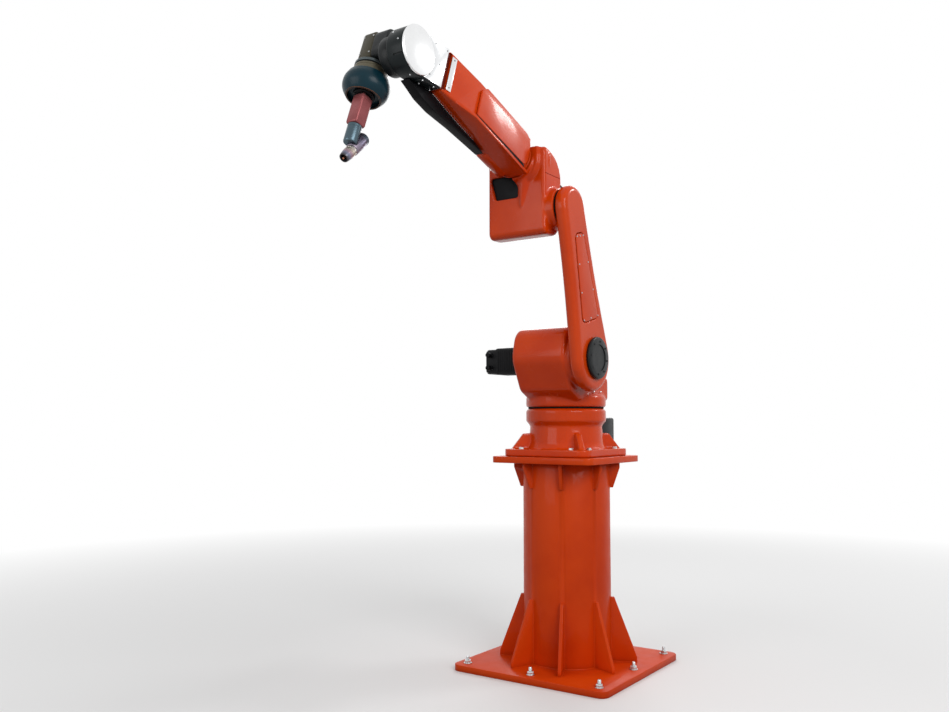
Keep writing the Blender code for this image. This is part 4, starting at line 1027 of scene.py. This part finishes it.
def makeTool():
    start, end, radius = tool["collar"]
    rows = [(0.055, start - 0.0055), (0.055, start), (radius - 0.0025, start), (radius - 0.0010, start + 0.0015),
            (radius, start + 0.0095), (radius - 0.0012, start + 0.0105), (radius - 0.0012, start + 0.0120),
            (radius + 0.0003, start + 0.0130), (radius + 0.0018, end - 0.0082), (radius + 0.0006, end - 0.0074),
            (radius + 0.0006, end - 0.0064), (radius + 0.0015, end - 0.0056), (radius + 0.0015, end)]
    collar = applyPlace(turnedPiece("collar", rows, 96), facings["+X"])
    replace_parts(finish(collar, "tool", oliveDark), "tool_collar")
    rows = [(radius + 0.0012, end - 0.0050), (radius + 0.0034, end - 0.0046), (radius + 0.0040, end - 0.0036),
            (radius + 0.0040, end - 0.0010), (radius + 0.0034, end + 0.0001), (radius + 0.0012, end + 0.0001)]
    finish(applyPlace(ringPiece("collar_band", rows, 96), facings["+X"]), "tool", ochreBand)
    end, mouth = tool["bellEnd"], tool["mouth"]
    rim = [(mouth, 0.1702), (mouth, end - 0.0008), (mouth - 0.0008, end)]
    inner = [(mouth - 0.0044, end), (mouth - 0.0052, end - 0.0008), (mouth - 0.0050, end - 0.0060),
             (mouth - 0.0026, end - 0.0140), (mouth - 0.0022, end - 0.0180), (0.0530, end - 0.0180),
             (0.0520, end - 0.0166), (0.0460, end - 0.0166), (0.0450, end - 0.0180)]
    bell = applyPlace(turnedPiece("bell", [*tool["bell"], *rim, *inner], 96), facings["+X"])
    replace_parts(finish(bell, "tool", bellRubber), "bell_shroud")
    # Two thin brown rings at the mouth stand for the orange reflections of sparks on the rim: painted reflection
    rims, tube = [], tool["rimTube"]
    for radius, height in ((mouth + 0.0002, end - 0.0011), (mouth - 0.0050, end - 0.0006)):
        rows = [(radius + tube * math.cos(a), height + tube * math.sin(a))
                for a in (math.tau * k / 8 for k in range(8))]
        rims.append(applyPlace(ringPiece("rim", rows, 96), facings["+X"]))
    finish(joinPieces("bell_rims", rims), "tool", rimReflectionBrown)
    clamp = trimmedNode("torch_clamp", "tool", 0.001)
    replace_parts(finish(clamp, "tool", castBlack), "torch_clamp")
    radius, count = tool["clampScrews"]
    spots = ringSpots((end - 0.0072, 0, 0), radius, count, "+X", 0.85, 30)
    finish(repeatPiece("clamp_screws", capScrew, spots), "tool", blackOxide)
    makeTorch()
    print("tool made")


def makeTorch():
    start, end, half = tool["bodyStart"], tool["bodyEnd"], tool["bodyHalf"]
    body = trimmedNode("torch_body", "tool", 0.0008)
    quarters = [Matrix.Rotation(math.radians(90 * quarter), 4, "X") for quarter in range(4)]
    for turn in quarters:
        field = block("field", (start + 0.022, -half + 0.0075, half - 0.0014),
                      (end - 0.0085, half - 0.0075, half + 0.01))
        cutOut(body, [applyPlace(field, turn)])
    outer = block("seam", (start + 0.0145, -0.05, -0.05), (start + 0.0160, 0.05, 0.05))
    inner = block("core", (start, -half + 0.0013, -half + 0.0013), (start + 0.05, half - 0.0013, half - 0.0013), 0.008)
    cutOut(body, [cutOut(outer, [inner])])
    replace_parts(finish(body, "tool", copperRed), "torch_body")
    spots = [turn @ spot((start + 0.0075, y, half - 0.001), "+Z", 0.7) for turn in quarters for y in (-0.017, 0.017)]
    finish(repeatPiece("torch_screws", capScrew, spots), "tool", blackOxide)
    r, neckEnd = tool["neckRadius"], tool["neckEnd"]
    rows = [(r - 0.0015, end + 0.0003), (r, end + 0.0018), (r, end + 0.0110), (r - 0.0014, end + 0.0122),
            (r - 0.0014, end + 0.0150), (r, end + 0.0162), (r, neckEnd - 0.0060), (r - 0.0012, neckEnd - 0.0020),
            (r - 0.0035, neckEnd)]
    neck = applyPlace(turnedPiece("neck", rows, 56), facings["+X"])
    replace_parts(finish(neck, "tool", arcTintedSteel), "torch_neck")
    pivot = Matrix.Translation((neckEnd - 0.002, 0, -r)) @ Matrix.Rotation(-math.radians(tool["bend"]), 4, "Y")
    bend = pivot @ facings["+X"]
    along = places["tool"] @ bend
    # The barrel's purple-blue stands for the arc's light on dull metal: painted light
    arcTintedBluish = [(0.0, (0.17, 0.15, 0.20)), (0.6, (0.20, 0.18, 0.26)), (1.0, (0.23, 0.19, 0.24))]
    barrelMetal = makeHeated("barrel_metal", arcTintedBluish, (0.28, 0.42), along, -0.07, 0.022)
    scorched = [(0.0, (0.46, 0.44, 0.44)), (0.40, (0.42, 0.36, 0.30)), (0.62, (0.30, 0.20, 0.24)),
                (0.80, (0.16, 0.17, 0.24)), (1.0, (0.06, 0.055, 0.055))]
    nozzleMetal = makeHeated("nozzle_metal", scorched, (0.26, 0.44), along, 0.022, 0.090)
    holder = trimmedNode("nozzle_holder", "tool", 0.001)
    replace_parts(finish(holder, "tool", barrelMetal), "nozzle_holder")
    barrel = tool["nozzleRadius"] + 0.003
    bands = []
    for low, high in tool["bands"]:
        rows = [(barrel - 0.002, low), (barrel, low + 0.0002), (barrel + 0.0006, low + 0.0008),
                (barrel + 0.0006, high - 0.0008), (barrel, high - 0.0002), (barrel - 0.002, high)]
        bands.append(applyPlace(ringPiece("band", rows, 56), bend))
    bands.append(applyPlace(turnedPiece("plug", [(0.0120, -0.0690), (0.0120, -0.0725), (0.0110, -0.0735)], 6), bend))
    finish(joinPieces("barrel_bands", bands), "tool", arcTintedSteel)
    r, first, last = tool["nozzleRadius"], tool["holderEnd"] + 0.0003, tool["nozzleEnd"]
    rows = [(0.0085, first + 0.0060), (0.0085, first), (r - 0.0010, first), (r, first + 0.0010), (r, first + 0.0100),
            (r - 0.0012, first + 0.0112), (r - 0.0012, first + 0.0142), (r, first + 0.0154), (r, last - 0.0300),
            (r - 0.0010, last - 0.0220), (0.0208, last - 0.0100), (0.0194, last - 0.0012), (0.0187, last),
            (0.0151, last), (0.0147, last - 0.0010), (0.0147, first + 0.0060)]
    nozzle = applyPlace(turnedPiece("nozzle", rows, 56), bend)
    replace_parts(finish(nozzle, "tool", nozzleMetal), "gas_nozzle")
    rows = [(0.0055, first), (0.0055, last - 0.0180), (0.0036, last - 0.0040), (0.0033, last + 0.0030),
            (0.0012, last + 0.0030), (0.0012, last - 0.0040)]
    tip = applyPlace(turnedPiece("tip", rows, 24), bend)
    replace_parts(finish(tip, "tool", tipCopper), "contact_tip")


makeTool()
for model in models:
    bpy.data.objects.remove(model)


# Floor, light and camera

stage = {
    "floorRadius": 60.0, "floorColour": (0.84, 0.84, 0.84), "floorBounce": (0.20, 0.20, 0.20),
    "fadeStart": 1.6, "fadeEnd": 6.0, "skyLight": 0.42, "white": (1.0, 1.0, 1.0, 1.0),
    "lamps": {      # place, target, width and height, power
        "panel_light": ((-3.9, 3.0, 4.60), (-2.4, 0, 2.1), (1.5, 0.45), 66),        # mirrored in the forearm's panel
        "window_light": ((2.4, 4.0, 3.4), (0.6, 0, 1.9), (2.6, 2.6), 120),
        "front_light": ((4.6, -1.2, 2.6), (0.6, 0, 1.8), (2.4, 2.4), 40),
        "back_light": ((-3.0, -1.5, 3.4), (0.4, 0, 1.9), (2.2, 2.2), 50),
    },
    "cameraPlace": (3.8918, 2.1602, 1.1718), "cameraTurn": (94.10, 0, 124.82), "sensor": 36.0,
    "lens": 36.0 * 900.0 / 949.0,
}


# A share that is 1 for what the camera, a mirror or a glass shows, and 0 for the light that falls on things
def seenShare(made):
    path = addNode(made, "ShaderNodeLightPath")
    first, second = (addNode(made, "ShaderNodeMath", operation="MAXIMUM") for _ in range(2))
    link(made, path.outputs["Is Camera Ray"], first.inputs[0])
    link(made, path.outputs["Is Glossy Ray"], first.inputs[1])
    link(made, first.outputs[0], second.inputs[0])
    link(made, path.outputs["Is Transmission Ray"], second.inputs[1])
    return second.outputs[0]


def mixShaders(made, share, first, second, output):
    mix = addNode(made, "ShaderNodeMixShader")
    link(made, share, mix.inputs["Fac"])
    link(made, first.outputs[0], mix.inputs[1])
    link(made, second.outputs[0], mix.inputs[2])
    link(made, mix.outputs[0], made.node_tree.nodes[output].inputs["Surface"])


# The floor is pale near the object and melts into the white of the world further out
def makeStage():
    deselect()
    bpy.ops.mesh.primitive_circle_add(vertices=96, radius=stage["floorRadius"], fill_type="NGON", location=(0, 0, 0))
    floor = bpy.context.object
    floor.name = "studio_floor"
    made = newMaterial("floor_pale", stage["floorColour"], 0.75)
    seen = seenShare(made)
    link(made, mixColours(made, seen, stage["floorBounce"], stage["floorColour"]), shaderInput(made, "Base Color"))
    apart = addNode(made, "ShaderNodeVectorMath", operation="LENGTH")
    link(made, objectPlace(made), apart.inputs[0])
    share = addNode(made, "ShaderNodeMath", operation="MULTIPLY")
    link(made, spread(made, apart.outputs["Value"], 0.0, 1.0, stage["fadeStart"], stage["fadeEnd"]), share.inputs[0])
    link(made, seen, share.inputs[1])
    glow = addNode(made, "ShaderNodeEmission", {"Color": stage["white"], "Strength": 1.0})
    mixShaders(made, share.outputs[0], made.node_tree.nodes["Principled BSDF"], glow, "Material Output")
    floor.data.materials.append(made)
    world = bpy.data.worlds.new("studio")
    world.use_nodes = True
    light = world.node_tree.nodes["Background"]
    light.inputs["Color"].default_value = stage["white"]
    light.inputs["Strength"].default_value = stage["skyLight"]
    white = addNode(world, "ShaderNodeBackground", {"Color": stage["white"], "Strength": 1.0})
    mixShaders(world, seenShare(world), light, white, "World Output")
    bpy.context.scene.world = world


def softLight(name, place, target, size, power):
    deselect()
    bpy.ops.object.light_add(type="AREA", location=place)
    lamp = bpy.context.object
    lamp.name = name
    lamp.data.shape = "RECTANGLE"
    lamp.data.size, lamp.data.size_y = size
    lamp.data.energy = power
    lamp.rotation_euler = (Vector(target) - Vector(place)).to_track_quat("-Z", "Y").to_euler()


def makeCamera():
    deselect()
    bpy.ops.object.camera_add(location=stage["cameraPlace"], rotation=[math.radians(a) for a in stage["cameraTurn"]])
    camera = bpy.context.object
    camera.name = "photo_camera"
    camera.data.sensor_width = stage["sensor"]
    camera.data.lens = stage["lens"]
    bpy.context.scene.camera = camera


makeStage()
for name, settings in stage["lamps"].items():
    softLight(name, *settings)
makeCamera()
bpy.context.scene.view_settings.view_transform = "Standard"
print("stage and camera made")
